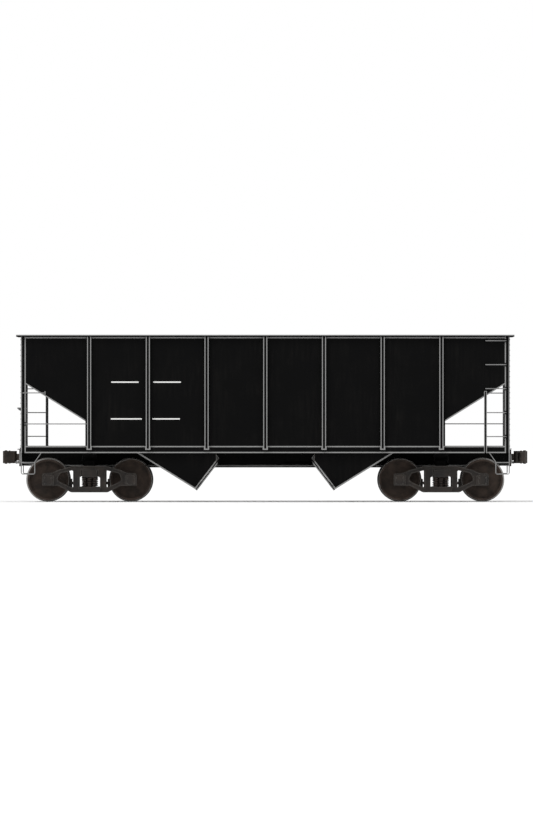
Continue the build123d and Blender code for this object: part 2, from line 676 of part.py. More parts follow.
# Door pan: a ribbed plate whose two straps carry the hinge barrels.
def door_pan():
    y0, y1, top = CHUTE_INNER - SHEET, CHUTE_OUTER + SHEET, DOOR_LENGTH - 4
    skin = DOOR_GAP + DOOR_PLATE
    pan = along_y(door_box(-DOOR_TOE, top, DOOR_GAP, DOOR_DEPTH), y0, y1)
    step = (y1 - y0 - ANGLE) / DOOR_PANELS
    for n in range(DOOR_PANELS):
        a = y0 + ANGLE + n * step
        pan -= along_y(door_box(20, top - 30, skin, 2 * DOOR_DEPTH), a, a + step - ANGLE)
    root = door_box(top - 80, top, skin, DOOR_DEPTH)
    crest = [(HINGE_X + 14, HINGE_Z - 14), (HINGE_X - 22, HINGE_Z)]
    for y in HINGE_PLACES:
        ends = (HINGE_X, y - 30, HINGE_Z), (HINGE_X, y + 30, HINGE_Z)
        strap = along_y([root[0], root[1]] + crest + [root[2], root[3]], y - 30, y + 30)
        strap += between(*ends, pin_section(HINGE_RADIUS))
        strap -= between(*ends, bore_section(HINGE_PIN))
        pan += strap
    return pan


# Door pair: two pans on one hinge line, tied by a channel under the centre sill.
def door_pair():
    low, high, skin = 120, 220, DOOR_GAP + DOOR_PLATE
    channel = door_box(low, high, DOOR_GAP, DOOR_DEPTH)
    hollow = door_box(low + SHEET, high - SHEET, skin, DOOR_DEPTH)
    section = [channel[3], channel[0], channel[1], channel[2]] + [hollow[2], hollow[1], hollow[0], hollow[3]]
    spreader = along_y(section, SHEET - CHUTE_INNER, CHUTE_INNER - SHEET)
    return joined([spreader, door_pan(), near(door_pan())])


# Hinge brackets: two ears on a door header with the pin between them.
def hinge_brackets():
    back, eye = HEADER_X - SHEET, HINGE_RADIUS
    nose = [(HINGE_X, HINGE_Z - eye), (HINGE_X - eye, HINGE_Z), (HINGE_X - eye / 2, HINGE_Z + eye)]
    shape = [(back, HINGE_Z + 80), (back, HEADER_Z + 5)] + nose
    brackets = []
    for y in HINGE_PLACES:
        ends = (HINGE_X, y - 48, HINGE_Z), (HINGE_X, y + 48, HINGE_Z)
        ears = along_y(shape, y + 36, y + 48) + along_y(shape, y - 48, y - 36)
        brackets += four(ears + between(*ends, pin_section(HINGE_PIN)))
    return brackets


# Door locks: a plate on the outer chute wall with a hooked dog that holds the door's lower edge.
def door_locks():
    base = CHUTE_OUTER + SHEET
    plate = along_y(door_box(60, 180, -120, -5), base, base + ANGLE)
    stem = [door_along(90, -70), door_along(150, -70), door_along(150, 12)]
    hook = stem + [door_along(175, 30), door_along(90, 30)]
    lock = plate + along_y(hook, base + ANGLE, base + 34)
    x, z = door_along(120, -50)
    return four(lock + bar((x, base + 30, z), (x, base + 52, z), 22))


def from_pivot(points):
    """Coupler plan points measured from its pivot, moved to the +X end."""
    return [(PIVOT_X + x, y) for x, y in points]


# Coupler: shank, head with guard arm, and two ears that hold the knuckle's pin.
def coupler():
    z, half = COUPLER_HEIGHT, SHANK_WIDTH / 2
    x, y, low = PIVOT_X + KNUCKLE_X, KNUCKLE_Y, z - SHANK_HEIGHT / 2
    shank = block(PIVOT_X, PIVOT_X + SHANK_LENGTH, -half, half, low, low + SHANK_HEIGHT)
    shank += upright(PIVOT_X, 0, low, pin_section(half), SHANK_HEIGHT)
    throat = [(440, -63), (440, 63), (485, 130), (580, 160)]
    guard = [(700, 205), (722, 190), (700, 150), (610, 95)]
    pocket = [(565, 60), (565, -45), (520, -45), (520, -150), (485, -140)]
    head = along_z(from_pivot(throat + guard + pocket), z - HEAD_HALF, z + HEAD_HALF)
    lug = from_pivot([(515, -150), (515, -45), (570, -64), (600, -64), (600, -160)])
    for z0 in (z - HEAD_HALF, z + HEAD_HALF - EAR_HEIGHT):
        head += along_z(lug, z0, z0 + EAR_HEIGHT)
        head += upright(x, y, z0, pin_section(KNUCKLE_HUB + 1), EAR_HEIGHT)
    body = shank + head - upright(PIVOT_X, 0, low, bore_section(PIVOT_PIN), SHANK_HEIGHT)
    return body + upright(x, y, z - HEAD_HALF - 8, pin_section(KNUCKLE_PIN), 2 * HEAD_HALF + 16)


# Knuckle: a hub between the coupler's ears and a taller nose in front of them.
def knuckle():
    z, low = COUPLER_HEIGHT, HEAD_HALF - EAR_HEIGHT - 1
    x, y = PIVOT_X + KNUCKLE_X, KNUCKLE_Y
    nose = [(645, -125), (670, -117), (690, -62), (686, 18), (650, 28), (635, 8), (640, -47)]
    arm = [(590, -157), (650, -125), (645, -47), (590, -67)]
    shape = along_z(from_pivot(nose), z - KNUCKLE_HALF, z + KNUCKLE_HALF)
    shape += along_z(from_pivot(arm), z - low, z + low)
    shape += upright(x, y, z - low, pin_section(KNUCKLE_HUB), 2 * low)
    return shape - upright(x, y, z - low, bore_section(KNUCKLE_PIN), 2 * low)


# Draft gear: the block inside the sill's end, with the two lugs and the pin that hold the shank.
def draft_gear():
    x1 = PIVOT_X - GEAR_TO_PIVOT
    x0, x2, side = x1 - GEAR_LENGTH, PIVOT_X + GEAR_LUG_REACH, GEAR_LUG_HALF
    half = SHANK_HEIGHT / 2 + RUNNING_GAP
    low, high = COUPLER_HEIGHT - GEAR_LUG_HEIGHT, COUPLER_HEIGHT + GEAR_LUG_HEIGHT
    gear = block(x0, x1, -WEB_INSIDE, WEB_INSIDE, low - 28, SILL_TOP - ANGLE)
    gear += block(x1, x2, -side, side, low, COUPLER_HEIGHT - half)
    gear += block(x1, x2, -side, side, COUPLER_HEIGHT + half, high)
    return gear + upright(PIVOT_X, 0, low, pin_section(PIVOT_PIN), high - low)


# Sill step: a two-tread stirrup of flat bar under the side sill at the end of the body.
def sill_step():
    z, x1, b = SIDE_SILL_BOTTOM, HALF_LENGTH, STEP_BAR
    inner, root = HALF_LENGTH - STEP_INSET, HALF_LENGTH - STEP_ROOT_INSET
    mid, low = z - STEP_MID_DROP, z - STEP_LOW_DROP
    outer = [(x1, z), (x1, low), (inner, low), (inner, mid), (root, z)]
    inside = [(root + b, z), (inner + b, mid), (inner + b, low + b), (x1 - b, low + b)]
    y0, y1 = FACE - 60, FACE - 5
    step = along_y(outer + inside + [(x1 - b, z)], y0, y1)
    corners = step.edges().filter_by(Axis.Y).group_by(Axis.Z)
    step = fillet(corners[0], STEP_BEND)
    return step + block(inner + b, x1 - b, y0, y1, mid - b, mid)


def handhold(start, end, y, z):
    """A bar along X standing off a side, with a leg to the wall at each (x, wall)."""
    rail = bar((start[0] - RUNG_END, y, z), (end[0] + RUNG_END, y, z), RUNG_RADIUS)
    for x, wall in (start, end):
        rail += bar((x, wall, z), (x, y, z), RUNG_LEG)
    return rail


def rung_levels():
    """Heights of the rungs, from under the coping down to the side sill."""
    levels, z = [], TOP - RUNG_BELOW_TOP
    while z > SIDE_SILL_BOTTOM + 200:
        levels.append(z)
        z -= RUNG_PITCH
    return levels


# Side ladder: an angle stile from the sill to the slope sheet, rungs beside it and rungs above it.
def side_ladder():
    y, foot = FACE + STANDOFF, END_OUTER + RUNG_FOOT
    x0, x1, front = LADDER_X - LADDER_STILE / 2, LADDER_X + LADDER_STILE / 2, y + RUNG_RADIUS + 4
    leg = [(x1, FACE), (x1, front), (x1 - ANGLE, front), (x1 - ANGLE, FACE + ANGLE)]
    stile = along_z([(x0, FACE)] + leg + [(x0, FACE + ANGLE)], SIDE_SILL_BOTTOM, LADDER_TOP)
    stile += block(x0, x1, WALL_OUT, FACE, LADDER_TOP - 80, LADDER_TOP)
    above = []
    for z in rung_levels():
        if z < LADDER_TOP - RUNG_RADIUS:
            stile += bar((x1 - ANGLE, y, z), (foot + RUNG_END, y, z), RUNG_RADIUS)
            stile += bar((foot, FACE, z), (foot, y, z), RUNG_LEG)
        else:
            above.append(handhold((LADDER_X + RUNG_RADIUS, WALL_OUT), (foot, FACE), y, z))
    return [stile] + above


# End ladder: a stile from the end sill to the coping, with rungs to the corner post.
def end_ladder():
    x0, x1, x = HALF_LENGTH - 60, HALF_LENGTH, HALF_LENGTH - 24
    y0 = FACE - END_STILE_INSET
    y1, pad = y0 + LADDER_STILE, CORNER + 34
    angle = [(x0, y0), (x1, y0), (x1, y1), (x1 - ANGLE, y1), (x1 - ANGLE, y0 + ANGLE), (x0, y0 + ANGLE)]
    ladder = along_z(angle, END_SILL_TOP, TOP - ANGLE)
    for z in rung_levels():
        ladder += bar((x, y0 + ANGLE / 2, z), (x, pad, z), RUNG_RADIUS)
        ladder += block(x - 6, x1 - ANGLE, CORNER + 4, pad, z - 11, z + 11)
    return ladder


# Grab irons, long side rails and end handholds.
def handholds():
    post_toe = BOGIE_X + (POST_BASE + POST_FLANGE) / 2
    grab_z, rail_z = slope_z(LADDER_X) + GRAB_OVER_SLOPE, SIDE_SILL_BOTTOM + RAIL_OVER_SILL
    grab = handhold((LADDER_X, WALL_OUT), (HALF_LENGTH - 50, FACE), FACE + STANDOFF, grab_z)
    rail = handhold((post_toe, WALL_OUT + SHEET), (END_OUTER + RUNG_FOOT, FACE), FACE + 40, rail_z)
    x, z = HALF_LENGTH + STANDOFF, SIDE_SILL_BOTTOM + END_SILL_HEIGHT / 2
    y0, y1 = FACE - 761.5, FACE - 261.5
    end_bar = bar((x, y0 - RUNG_END, z), (x, y1 + RUNG_END, z), RUNG_RADIUS)
    for y in (y0, y1):
        end_bar += bar((HALF_LENGTH, y, z), (x, y, z), RUNG_LEG)
    return [grab, rail, end_bar, turned(grab), turned(rail), turned(end_bar)]


# Cross ties between the two sides, high in the load space.
def cross_ties():
    z, ties = TOP - TIE_BELOW_TOP, []
    for x in (-POST_PITCH, POST_PITCH):
        plate = block(x - TIE_PLATE, x + TIE_PLATE, WALL_IN - ANGLE, WALL_IN, z - TIE_PLATE, z + TIE_PLATE)
        tie = bar((x, -WALL_IN, z), (x, WALL_IN, z), TIE_RADIUS, PIN_SIDES)
        ties.append(joined([tie, plate, near(plate)]))
    return ties


# Brake bed: a plate with turned-down edges over the centre sill, between the bays.
def brake_bed():
    x, edge = BED_LENGTH / 2, BED_HALF - ANGLE
    bed = [(BED_HALF, SILL_TOP - 40), (BED_HALF, SILL_TOP + ANGLE)]
    under = [(edge, SILL_TOP), (edge, SILL_TOP - 40)]
    return along_x(two_sided(bed) + [(-y, z) for y, z in reversed(under)] + under, -x, x)


def tank(length, radius, y):
    """A drum along X on two feet over the brake bed."""
    z = SILL_TOP + ANGLE + radius + TANK_LIFT
    drum = bar((-length / 2, y, z), (length / 2, y, z), radius, DRUM_SIDES)
    for x in (-length / 2 + 40, length / 2 - 100):
        drum += block(x, x + 40, y - radius * 0.7, y + radius * 0.7, SILL_TOP + ANGLE, z - radius * 0.6)
    return drum


# Brake cylinder: a drum with a flanged cover and the push rod to its lever.
def brake_cylinder():
    y, z, end = -ROD_Y, SILL_TOP + ANGLE + CYLINDER_RADIUS + TANK_LIFT, CYLINDER_LENGTH / 2
    cover = bar((end - 40, y, z), (end - 10, y, z), CYLINDER_RADIUS + 25, DRUM_SIDES)
    return joined([tank(CYLINDER_LENGTH, CYLINDER_RADIUS, y), cover, bar((end, y, z), (LEVER_X, y, z), 22)])


def control_valve():
    z = SILL_TOP + ANGLE
    return block(-60, 60, -70, 70, z, z + 220) + block(-150, 150, -55, 55, z + 60, z + 190)


def brake_lever(top):
    """A lever beside the centre sill that reaches up to top, and its rod toward the bogie."""
    x, y, z, end = LEVER_X, ROD_Y, CENTRE_SILL_BOTTOM + 60, BOGIE_X - ROD_END_TO_BOGIE
    lever = along_y([(x + 8, z - 20), (x + 52, z - 20), (x + 60, top), (x, top)], y - 8, y + 8)
    lever += block(x + 5, x + 55, SILL_WEB, y - 8, z + 120, z + 170)
    lever += bar((x + 30, y, z), (end, y, z), 13)
    lever += block(end - 60, end + 40, y - 14, y + 14, z - 22, z + 22)
    return lever + block(end - 40, end, SILL_WEB, y - 14, z - 10, z + 40)


# Brake levers and rods on both sides of the centre sill.
def brake_rods():
    long_lever = brake_lever(SILL_TOP + ANGLE + CYLINDER_RADIUS + 50)
    return [near(long_lever), turned(near(brake_lever(SILL_TOP + 20)))]


# Hand brake at the -X end: gear case, wheel with five spokes, and the rod down to the end sill.
def hand_brake():
    x, y, z, r = END_OUTER, BRAKE_WHEEL_Y, TOP - BRAKE_WHEEL_DROP, BRAKE_WHEEL_RADIUS
    hub = HALF_LENGTH - 22
    side = [(110, z - 90), (110, z + 60), (60, z + 130)]
    case = along_x([(y + a, b) for a, b in two_sided([(40, z - 170)] + side)], x, x + 55)
    case += bar((x + 55, y, z), (HALF_LENGTH - 8, y, z), 22)
    ends = (hub - 11, y, z), (hub + 11, y, z)
    wheel = bar(*ends, r, RIM_SIDES) - bar(*ends, r - BRAKE_WHEEL_RIM, RIM_SIDES)
    for n in range(5):
        a = math.radians(90 + 72 * n)
        wheel += bar((hub, y, z), (hub, y + (r - 10) * math.cos(a), z + (r - 10) * math.sin(a)), 9)
    stem = HALF_LENGTH - BRAKE_STEM_INSET
    return far(joined([case, wheel, bar((stem, y, END_SILL_TOP), (stem, y, z - 150), 9)]))


# Running board under the brake wheel, on brackets from the end frame's cross rail.
def brake_step():
    x0, x1, z = END_OUTER + ANGLE, HALF_LENGTH + 90, BOARD_Z
    y0, y1 = BRAKE_WHEEL_Y - 220, END_POST_Y - END_POST_WIDTH / 2
    stem = HALF_LENGTH - BRAKE_STEM_INSET
    board = block(END_OUTER, x1, y0, y1, z, z + 30)
    foot = STEP_RAIL_Z + ANGLE
    bracket = [(x0, z), (x1 - 20, z), (x1 - 20, z - 15), (END_OUTER + END_RAIL_DEPTH, foot), (x0, foot)]
    for y in (y0 + 60, y1 - 100):
        board += along_y(bracket, y, y + 10)
    return far(board - bar((stem, BRAKE_WHEEL_Y, z - 10), (stem, BRAKE_WHEEL_Y, z + 40), 16))


# Train pipe under the centre sill, with an angle cock at each end.
def train_pipe():
    y, z, half = PIPE_Y, CENTRE_SILL_BOTTOM - PIPE_RADIUS - 0.5, HALF_LENGTH
    bend, cross = half - PIPE_BEND_INSET, PIPE_CROSS_INSET - half
    right = [(bend - PIPE_BEND_RUN, y, z), (bend, y + 50, z), (half + 25, COCK_Y, COCK_Z)]
    left = [(-half - 25, -COCK_Y, COCK_Z), (cross, -y - 50, z), (cross + PIPE_CROSS_RUN, y, z)]
    route = left + right
    pipe = joined([bar(a, b, PIPE_RADIUS) for a, b in zip(route, route[1:])])
    cock = block(half + 25, half + 85, COCK_Y - 26, COCK_Y + 26, COCK_Z - 30, COCK_Z + 30)
    cock += block(half, half + 50, COCK_Y - 15, COCK_Y + 15, COCK_Z, SIDE_SILL_BOTTOM + 30)
    cock += bar((half + 85, COCK_Y, COCK_Z), (half + 120, COCK_Y, COCK_Z - 15), 24)
    hanger = BOGIE_X - PIPE_HANGER_TO_BOGIE
    for x in (-hanger, 0, hanger):
        pipe += block(x - 15, x + 15, y - 20, y + 20, z, CENTRE_SILL_BOTTOM)
    return joined([pipe, cock, turned(cock)])


# Uncoupling lever from the coupler out to the side, hung from two brackets on the end sill.
def uncoupling_lever():
    x, z = HALF_LENGTH + UNCOUPLER_OUT, SIDE_SILL_BOTTOM - UNCOUPLER_BELOW_SILL
    y0, y1 = -UNCOUPLER_ROOT_Y, UNCOUPLER_GRIP_INSET - FACE
    lever = joined([
        bar((x, y0, z), (x, y1, z), 12),
        bar((x, y1, z), (x + 10, y1 - 70, z - 170), 12),
        bar((x, y0, z), (x + 20, y0, z - 90), 12),
    ])
    for y in (y0 - 380, y1 + 90):
        lever += block(HALF_LENGTH, x, y - 20, y + 20, z - 6, z + 6)
        lever += block(HALF_LENGTH, HALF_LENGTH + 8, y - 20, y + 20, z - 6, z + 90)
    return lever


def write(name, shapes):
    """Writes one named piece, or one group of like pieces, to its STEP file."""
    shapes = shapes if isinstance(shapes, (list, tuple)) else [shapes]
    solids = [s for shape in shapes for s in shape.solids()]
    export_step(solids[0] if len(solids) == 1 else Compound(solids), f"parts/{name}.step")


def body_nodes():
    """Every piece of the wagon's body, by name."""
    return {
        "side_panels_far": side_panels(),
        "side_panels_near": [near(s) for s in side_panels()],
        "side_posts_far": side_posts(),
        "side_posts_near": [near(s) for s in side_posts()],
        "corner_posts": corner_posts(),
        "side_sills": side_sills(),
        "side_copings": both_sides(side_coping()),
        "end_copings": both_ends(end_coping()),
        "end_sheets": both_ends(end_sheet()),
        "slope_sheets": both_ends(slope_sheet()),
        "cross_ridge": cross_ridge(),
        "door_headers": headers(),
        "chute_walls": chute_walls(),
        "ledges": ledges(),
        "centre_hoods": hoods(),
        "centre_sill": centre_sill(),
        "end_sills": both_ends(end_sill()),
        "end_frames": both_ends(end_frame()),
        "strikers": both_ends(striker()),
        "body_bolsters": both_ends(body_bolster()),
        "centre_plates": both_ends(centre_plate()),
        "hinge_brackets": hinge_brackets(),
        "draft_gears": both_ends(draft_gear()),
        "sill_steps": four(sill_step()),
        "side_ladders": near_and_turned(side_ladder()),
        "end_ladders": near_and_turned([end_ladder()]),
        "handholds": handholds(),
        "cross_ties": cross_ties(),
        "brake_bed": brake_bed(),
        "brake_cylinder": brake_cylinder(),
        "air_reservoir": tank(RESERVOIR_LENGTH, RESERVOIR_RADIUS, ROD_Y),
        "control_valve": control_valve(),
        "brake_rods": brake_rods(),
        "hand_brake": hand_brake(),
        "brake_step": brake_step(),
        "train_pipe": train_pipe(),
        "uncoupling_levers": [uncoupling_lever(), turned(uncoupling_lever())],
        "door_locks": door_locks(),
    }


def moving_nodes():
    """Every piece that swings, turns or rolls, by name."""
    nodes = {
        "doors_right": door_pair(),
        "doors_left": far(door_pair()),
        "coupler_right": coupler(),
        "coupler_left": turned(coupler()),
        "knuckle_right": knuckle(),
        "knuckle_left": turned(knuckle()),
    }
    bogie = {
        "side_frames": both_sides(side_frame()),
        "bolster": [bogie_bolster()],
        "springs": springs(),
        "brake_beams": brake_beams(),
    }
    for end, side in (("right", 1), ("left", -1)):
        x = side * BOGIE_X
        for piece, shapes in bogie.items():
            nodes[f"{piece}_{end}"] = [Pos(x, 0, 0) * s for s in shapes]
        nodes[f"wheelset_{end}_outer"] = wheelset(x + side * WHEELBASE / 2)
        nodes[f"wheelset_{end}_inner"] = wheelset(x - side * WHEELBASE / 2)
    return nodes


def main():
    os.makedirs("parts", exist_ok=True)
    for name, shapes in {**body_nodes(), **moving_nodes()}.items():
        write(name, shapes)


main()
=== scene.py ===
import bpy
import math
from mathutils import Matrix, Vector


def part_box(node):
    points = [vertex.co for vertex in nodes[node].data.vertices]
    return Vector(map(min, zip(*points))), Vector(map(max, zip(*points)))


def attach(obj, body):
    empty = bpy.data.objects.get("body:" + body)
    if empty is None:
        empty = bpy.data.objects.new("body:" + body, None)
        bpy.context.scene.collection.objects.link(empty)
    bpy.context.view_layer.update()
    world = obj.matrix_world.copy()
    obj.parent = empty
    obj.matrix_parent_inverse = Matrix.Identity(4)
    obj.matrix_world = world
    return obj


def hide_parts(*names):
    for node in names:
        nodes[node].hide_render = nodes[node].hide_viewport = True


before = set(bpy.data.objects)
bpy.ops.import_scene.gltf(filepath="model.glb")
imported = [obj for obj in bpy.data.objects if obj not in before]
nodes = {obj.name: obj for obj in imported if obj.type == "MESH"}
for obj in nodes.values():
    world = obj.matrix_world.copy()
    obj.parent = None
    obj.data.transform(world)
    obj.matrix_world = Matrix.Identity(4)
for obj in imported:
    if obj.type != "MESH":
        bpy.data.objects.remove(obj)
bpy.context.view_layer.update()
bpy.ops.object.select_all(action="DESELECT")


# The picture is a flat side elevation, so the camera stands far off with a long lens,
# square to the wagon's side and level with the middle of it.
CAMERA_AWAY, CAMERA_HEIGHT, CAMERA_RIGHT = 324.76, 1.8264, 0.025
LENS, SENSOR, SEES_TO = 700, 36, 2000
camera_data = bpy.data.cameras.new("side_view")
camera_data.sensor_width = SENSOR
camera_data.lens = LENS
camera_data.clip_end = SEES_TO
camera = bpy.data.objects.new("side_view", camera_data)
camera.location = (CAMERA_RIGHT, -CAMERA_AWAY, CAMERA_HEIGHT)
camera.rotation_euler = (math.radians(90), 0, 0)
bpy.context.scene.collection.objects.link(camera)
bpy.context.scene.camera = camera
bpy.context.scene.view_settings.view_transform = "Standard"


# The studio: a soft white sky, full white only where it is seen or mirrored, one broad high lamp,
# and a pale floor that keeps the wagon's shadow.
SKY_LIGHT, SKY_WHITE = 0.85, 1.0
LAMP_LIGHT, LAMP_SPREAD, LAMP_TILT = 1.1, 25, (38, -14, -18)
FLOOR_SIZE, FLOOR_PALE, FLOOR_DULL = 900, 0.95, 0.9
sky = bpy.data.worlds.new("studio_sky")
bpy.context.scene.world = sky
sky.use_nodes = True
sky_tree = sky.node_tree
ray = sky_tree.nodes.new("ShaderNodeLightPath")
seen = ray.outputs["Is Camera Ray"]
for kind in ("Is Glossy Ray", "Is Transmission Ray"):
    either = sky_tree.nodes.new("ShaderNodeMath")
    either.operation = "MAXIMUM"
    sky_tree.links.new(seen, either.inputs[0])
    sky_tree.links.new(ray.outputs[kind], either.inputs[1])
    seen = either.outputs[0]
level = sky_tree.nodes.new("ShaderNodeMapRange")
level.inputs["To Min"].default_value = SKY_LIGHT
level.inputs["To Max"].default_value = SKY_WHITE
sky_tree.links.new(seen, level.inputs["Value"])
sky_tree.nodes["Background"].inputs["Color"].default_value = (1, 1, 1, 1)
sky_tree.links.new(level.outputs[0], sky_tree.nodes["Background"].inputs["Strength"])

lamp_data = bpy.data.lights.new("high_lamp", "SUN")
lamp_data.energy = LAMP_LIGHT
lamp_data.angle = math.radians(LAMP_SPREAD)
lamp = bpy.data.objects.new("high_lamp", lamp_data)
lamp.rotation_euler = [math.radians(turn) for turn in LAMP_TILT]
bpy.context.scene.collection.objects.link(lamp)

bpy.ops.mesh.primitive_plane_add(size=FLOOR_SIZE, location=(0, 0, 0))
floor = bpy.context.object
floor.name = "studio_floor"
floor_coat = bpy.data.materials.new("studio_floor")
floor_coat.use_nodes = True
floor_shader = floor_coat.node_tree.nodes["Principled BSDF"]
floor_shader.inputs["Base Color"].default_value = (FLOOR_PALE, FLOOR_PALE, FLOOR_PALE, 1)
floor_shader.inputs["Roughness"].default_value = FLOOR_DULL
floor_shader.inputs["Specular IOR Level"].default_value = 0.0
floor.data.materials.append(floor_coat)
bpy.ops.object.select_all(action="DESELECT")


# Stakes: pressed hat sections of steel plate, riveted to the side sheets, in dull black paint.
# The paint is rubbed through to grey primer along both arrises of each crown and round its foot.
BLACK, DUSTY, PRIMER = (0.0013, 0.0013, 0.0014), (0.0075, 0.0068, 0.0062), (0.26, 0.26, 0.257)
PAINT_GLOSS, PAINT_ROUGH, PAINT_GRAIN, GRAIN_DEPTH = 0.06, 0.58, 90.0, 0.0006


def maths(tree, operation, first, second=None, third=None):
    made = tree.nodes.new("ShaderNodeMath")
    made.operation = operation
    for socket, value in zip(made.inputs, (first, second, third)):
        if isinstance(value, (int, float)):
            socket.default_value = value
        elif value is not None:
            tree.links.new(value, socket)
    return made.outputs[0]


def both(tree, *masks):
    whole = masks[0]
    for mask in masks[1:]:
        whole = maths(tree, "MULTIPLY", whole, mask)
    return whole


def either_of(tree, *masks):
    whole = masks[0]
    for mask in masks[1:]:
        whole = maths(tree, "MAXIMUM", whole, mask)
    return whole


def over(tree, value, low):
    return maths(tree, "GREATER_THAN", value, low)


def under(tree, value, high):
    return maths(tree, "LESS_THAN", value, high)


def band(tree, value, low, high):
    return maths(tree, "COMPARE", value, (low + high) / 2, (high - low) / 2)


def rise(tree, value, low, high):
    """0 at low, 1 at high and even between them."""
    made = tree.nodes.new("ShaderNodeMapRange")
    made.inputs["From Min"].default_value = low
    made.inputs["From Max"].default_value = high
    tree.links.new(value, made.inputs["Value"])
    return made.outputs[0]


def clouds(tree, place, scale, detail=4.0, roughness=0.55, stretch=None):
    if stretch:
        pulled = tree.nodes.new("ShaderNodeMapping")
        pulled.inputs["Scale"].default_value = stretch
        tree.links.new(place, pulled.inputs["Vector"])
        place = pulled.outputs[0]
    made = tree.nodes.new("ShaderNodeTexNoise")
    made.inputs["Scale"].default_value = scale
    made.inputs["Detail"].default_value = detail
    made.inputs["Roughness"].default_value = roughness
    tree.links.new(place, made.inputs["Vector"])
    return made.outputs["Fac"]


def laid_over(tree, amount, ground, coat):
    made = tree.nodes.new("ShaderNodeMix")
    made.data_type = "RGBA"
    tree.links.new(amount, made.inputs["Factor"])
    for socket, colour in ((made.inputs[6], ground), (made.inputs[7], coat)):
        if isinstance(colour, tuple):
            socket.default_value = (*colour, 1)
        else:
            tree.links.new(colour, socket)
    return made.outputs[2]


def split_axes(tree, vector):
    axes = tree.nodes.new("ShaderNodeSeparateXYZ")
    tree.links.new(vector, axes.inputs[0])
    return axes.outputs["X"], axes.outputs["Y"], axes.outputs["Z"]


def bare_finish(name, gloss, roughness, metal=0.0):
    """A new finish, its shader, and its place on the wagon: whole, and as x, y and z."""
    made = bpy.data.materials.new(name)
    made.use_nodes = True
    tree = made.node_tree
    shader = tree.nodes["Principled BSDF"]
    shader.inputs["Specular IOR Level"].default_value = gloss
    shader.inputs["Roughness"].default_value = roughness
    shader.inputs["Metallic"].default_value = metal
    place = tree.nodes.new("ShaderNodeTexCoord").outputs["Object"]
    return made, tree, shader, place, split_axes(tree, place)


def roughened(tree, shader, height, depth, strength=0.5):
    made = tree.nodes.new("ShaderNodeBump")
    made.inputs["Strength"].default_value = strength
    made.inputs["Distance"].default_value = depth
    tree.links.new(height, made.inputs["Height"])
    tree.links.new(made.outputs[0], shader.inputs["Normal"])


def surface_way(tree):
    return split_axes(tree, tree.nodes.new("ShaderNodeNewGeometry").outputs["True Normal"])


def ragged(tree, place, value, reach=0.005):
    """The value pushed to and fro a little, so that what is cut by it has a worn edge."""
    wander = maths(tree, "SUBTRACT", clouds(tree, place, 55.0, detail=3.0), 0.5)
    return maths(tree, "MULTIPLY_ADD", wander, reach, value)


def painted_steel(name, worn_places=None):
    """Dull black paint with dust in streaks, rubbed through to primer where worn_places says."""
    made, tree, shader, place, (x, y, z) = bare_finish(name, PAINT_GLOSS, PAINT_ROUGH)
    patches = clouds(tree, place, 1.4)
    streaks = clouds(tree, place, 3.0, detail=3.0, roughness=0.6, stretch=(6.0, 6.0, 0.5))
    dust = both(tree, rise(tree, patches, 0.42, 0.8), rise(tree, streaks, 0.4, 0.75))
    colour = laid_over(tree, dust, BLACK, DUSTY)
    grain = clouds(tree, place, PAINT_GRAIN, detail=2.0)
    if worn_places:
        across, out = (maths(tree, "ABSOLUTE", ragged(tree, place, value)) for value in (x, y))
        worn = worn_places(tree, across, out, ragged(tree, place, z))
        colour = laid_over(tree, both(tree, worn, rise(tree, grain, 0.22, 0.34)), colour, PRIMER)
    tree.links.new(colour, shader.inputs["Base Color"])
    roughened(tree, shader, maths(tree, "MULTIPLY_ADD", patches, 0.6, grain), GRAIN_DEPTH)
    return made, tree, shader, place, colour, (x, y, z)


def give_finish(finish, *names):
    for name in names:
        for holder in nodes[name].material_slots:
            holder.material = finish


STAKE_PITCH = 1.186
ARRIS_IN, RUB_DEPTH, FOOT_LINE = 0.0225, 0.024, 0.024
stake_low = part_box("side_posts_near")[0]


def stake_wear(tree, x, y, z):
    off_middle = maths(tree, "PINGPONG", x, STAKE_PITCH / 2)
    marks = either_of(tree, over(tree, off_middle, ARRIS_IN), under(tree, z, stake_low.z + FOOT_LINE))
    return both(tree, over(tree, y, -stake_low.y - RUB_DEPTH), marks)


give_finish(painted_steel("stake_paint", stake_wear)[0], "side_posts_near", "side_posts_far")


# Corner posts: rolled angles up the body's four corners, in the same black,
# rubbed along both legs' free edges and down the outer arris.
CORNER_LEG, LEG_LINE, ARRIS_LINE = 0.100, 0.022, 0.022
post_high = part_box("corner_posts")[1]


def corner_wear(tree, x, y, z):
    faces = (x, post_high.x), (y, post_high.y)
    legs = [under(tree, value, high - CORNER_LEG + LEG_LINE) for value, high in faces]
    arris = [over(tree, value, high - ARRIS_LINE) for value, high in faces]
    return either_of(tree, *legs, both(tree, *arris))


give_finish(painted_steel("corner_paint", corner_wear)[0], "corner_posts")


# Side sills: rolled angles under the side sheets, in black, rubbed along the upright leg's
# top and bottom edges.
SILL_LINE, THIN = 0.024, 0.006
sill_low, sill_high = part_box("side_sills")


def sill_wear(tree, x, y, z):
    lines = either_of(tree, over(tree, z, sill_high.z - SILL_LINE), under(tree, z, sill_low.z + SILL_LINE))
    return both(tree, over(tree, y, sill_high.y - THIN), lines)


give_finish(painted_steel("sill_paint", sill_wear)[0], "side_sills")


# Copings: a flange round the open top, turned down at its brim, with the chord's leg below it,
# in black, with the chord's lower edge and the brim's arris rubbed.
CHORD_LINE, CHORD_FOOT, BRIM_LINE = 0.048, 0.072, 0.018
coping_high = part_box("side_copings")[1]


def coping_wear(tree, x, y, z):
    depth = maths(tree, "SUBTRACT", coping_high.z, z)
    brim = either_of(tree, over(tree, y, coping_high.y - THIN), over(tree, x, coping_high.x - THIN))
    arris = both(tree, brim, under(tree, depth, BRIM_LINE))
    return either_of(tree, band(tree, depth, CHORD_LINE, CHORD_FOOT), arris)


give_finish(painted_steel("coping_paint", coping_wear)[0], "side_copings", "end_copings")


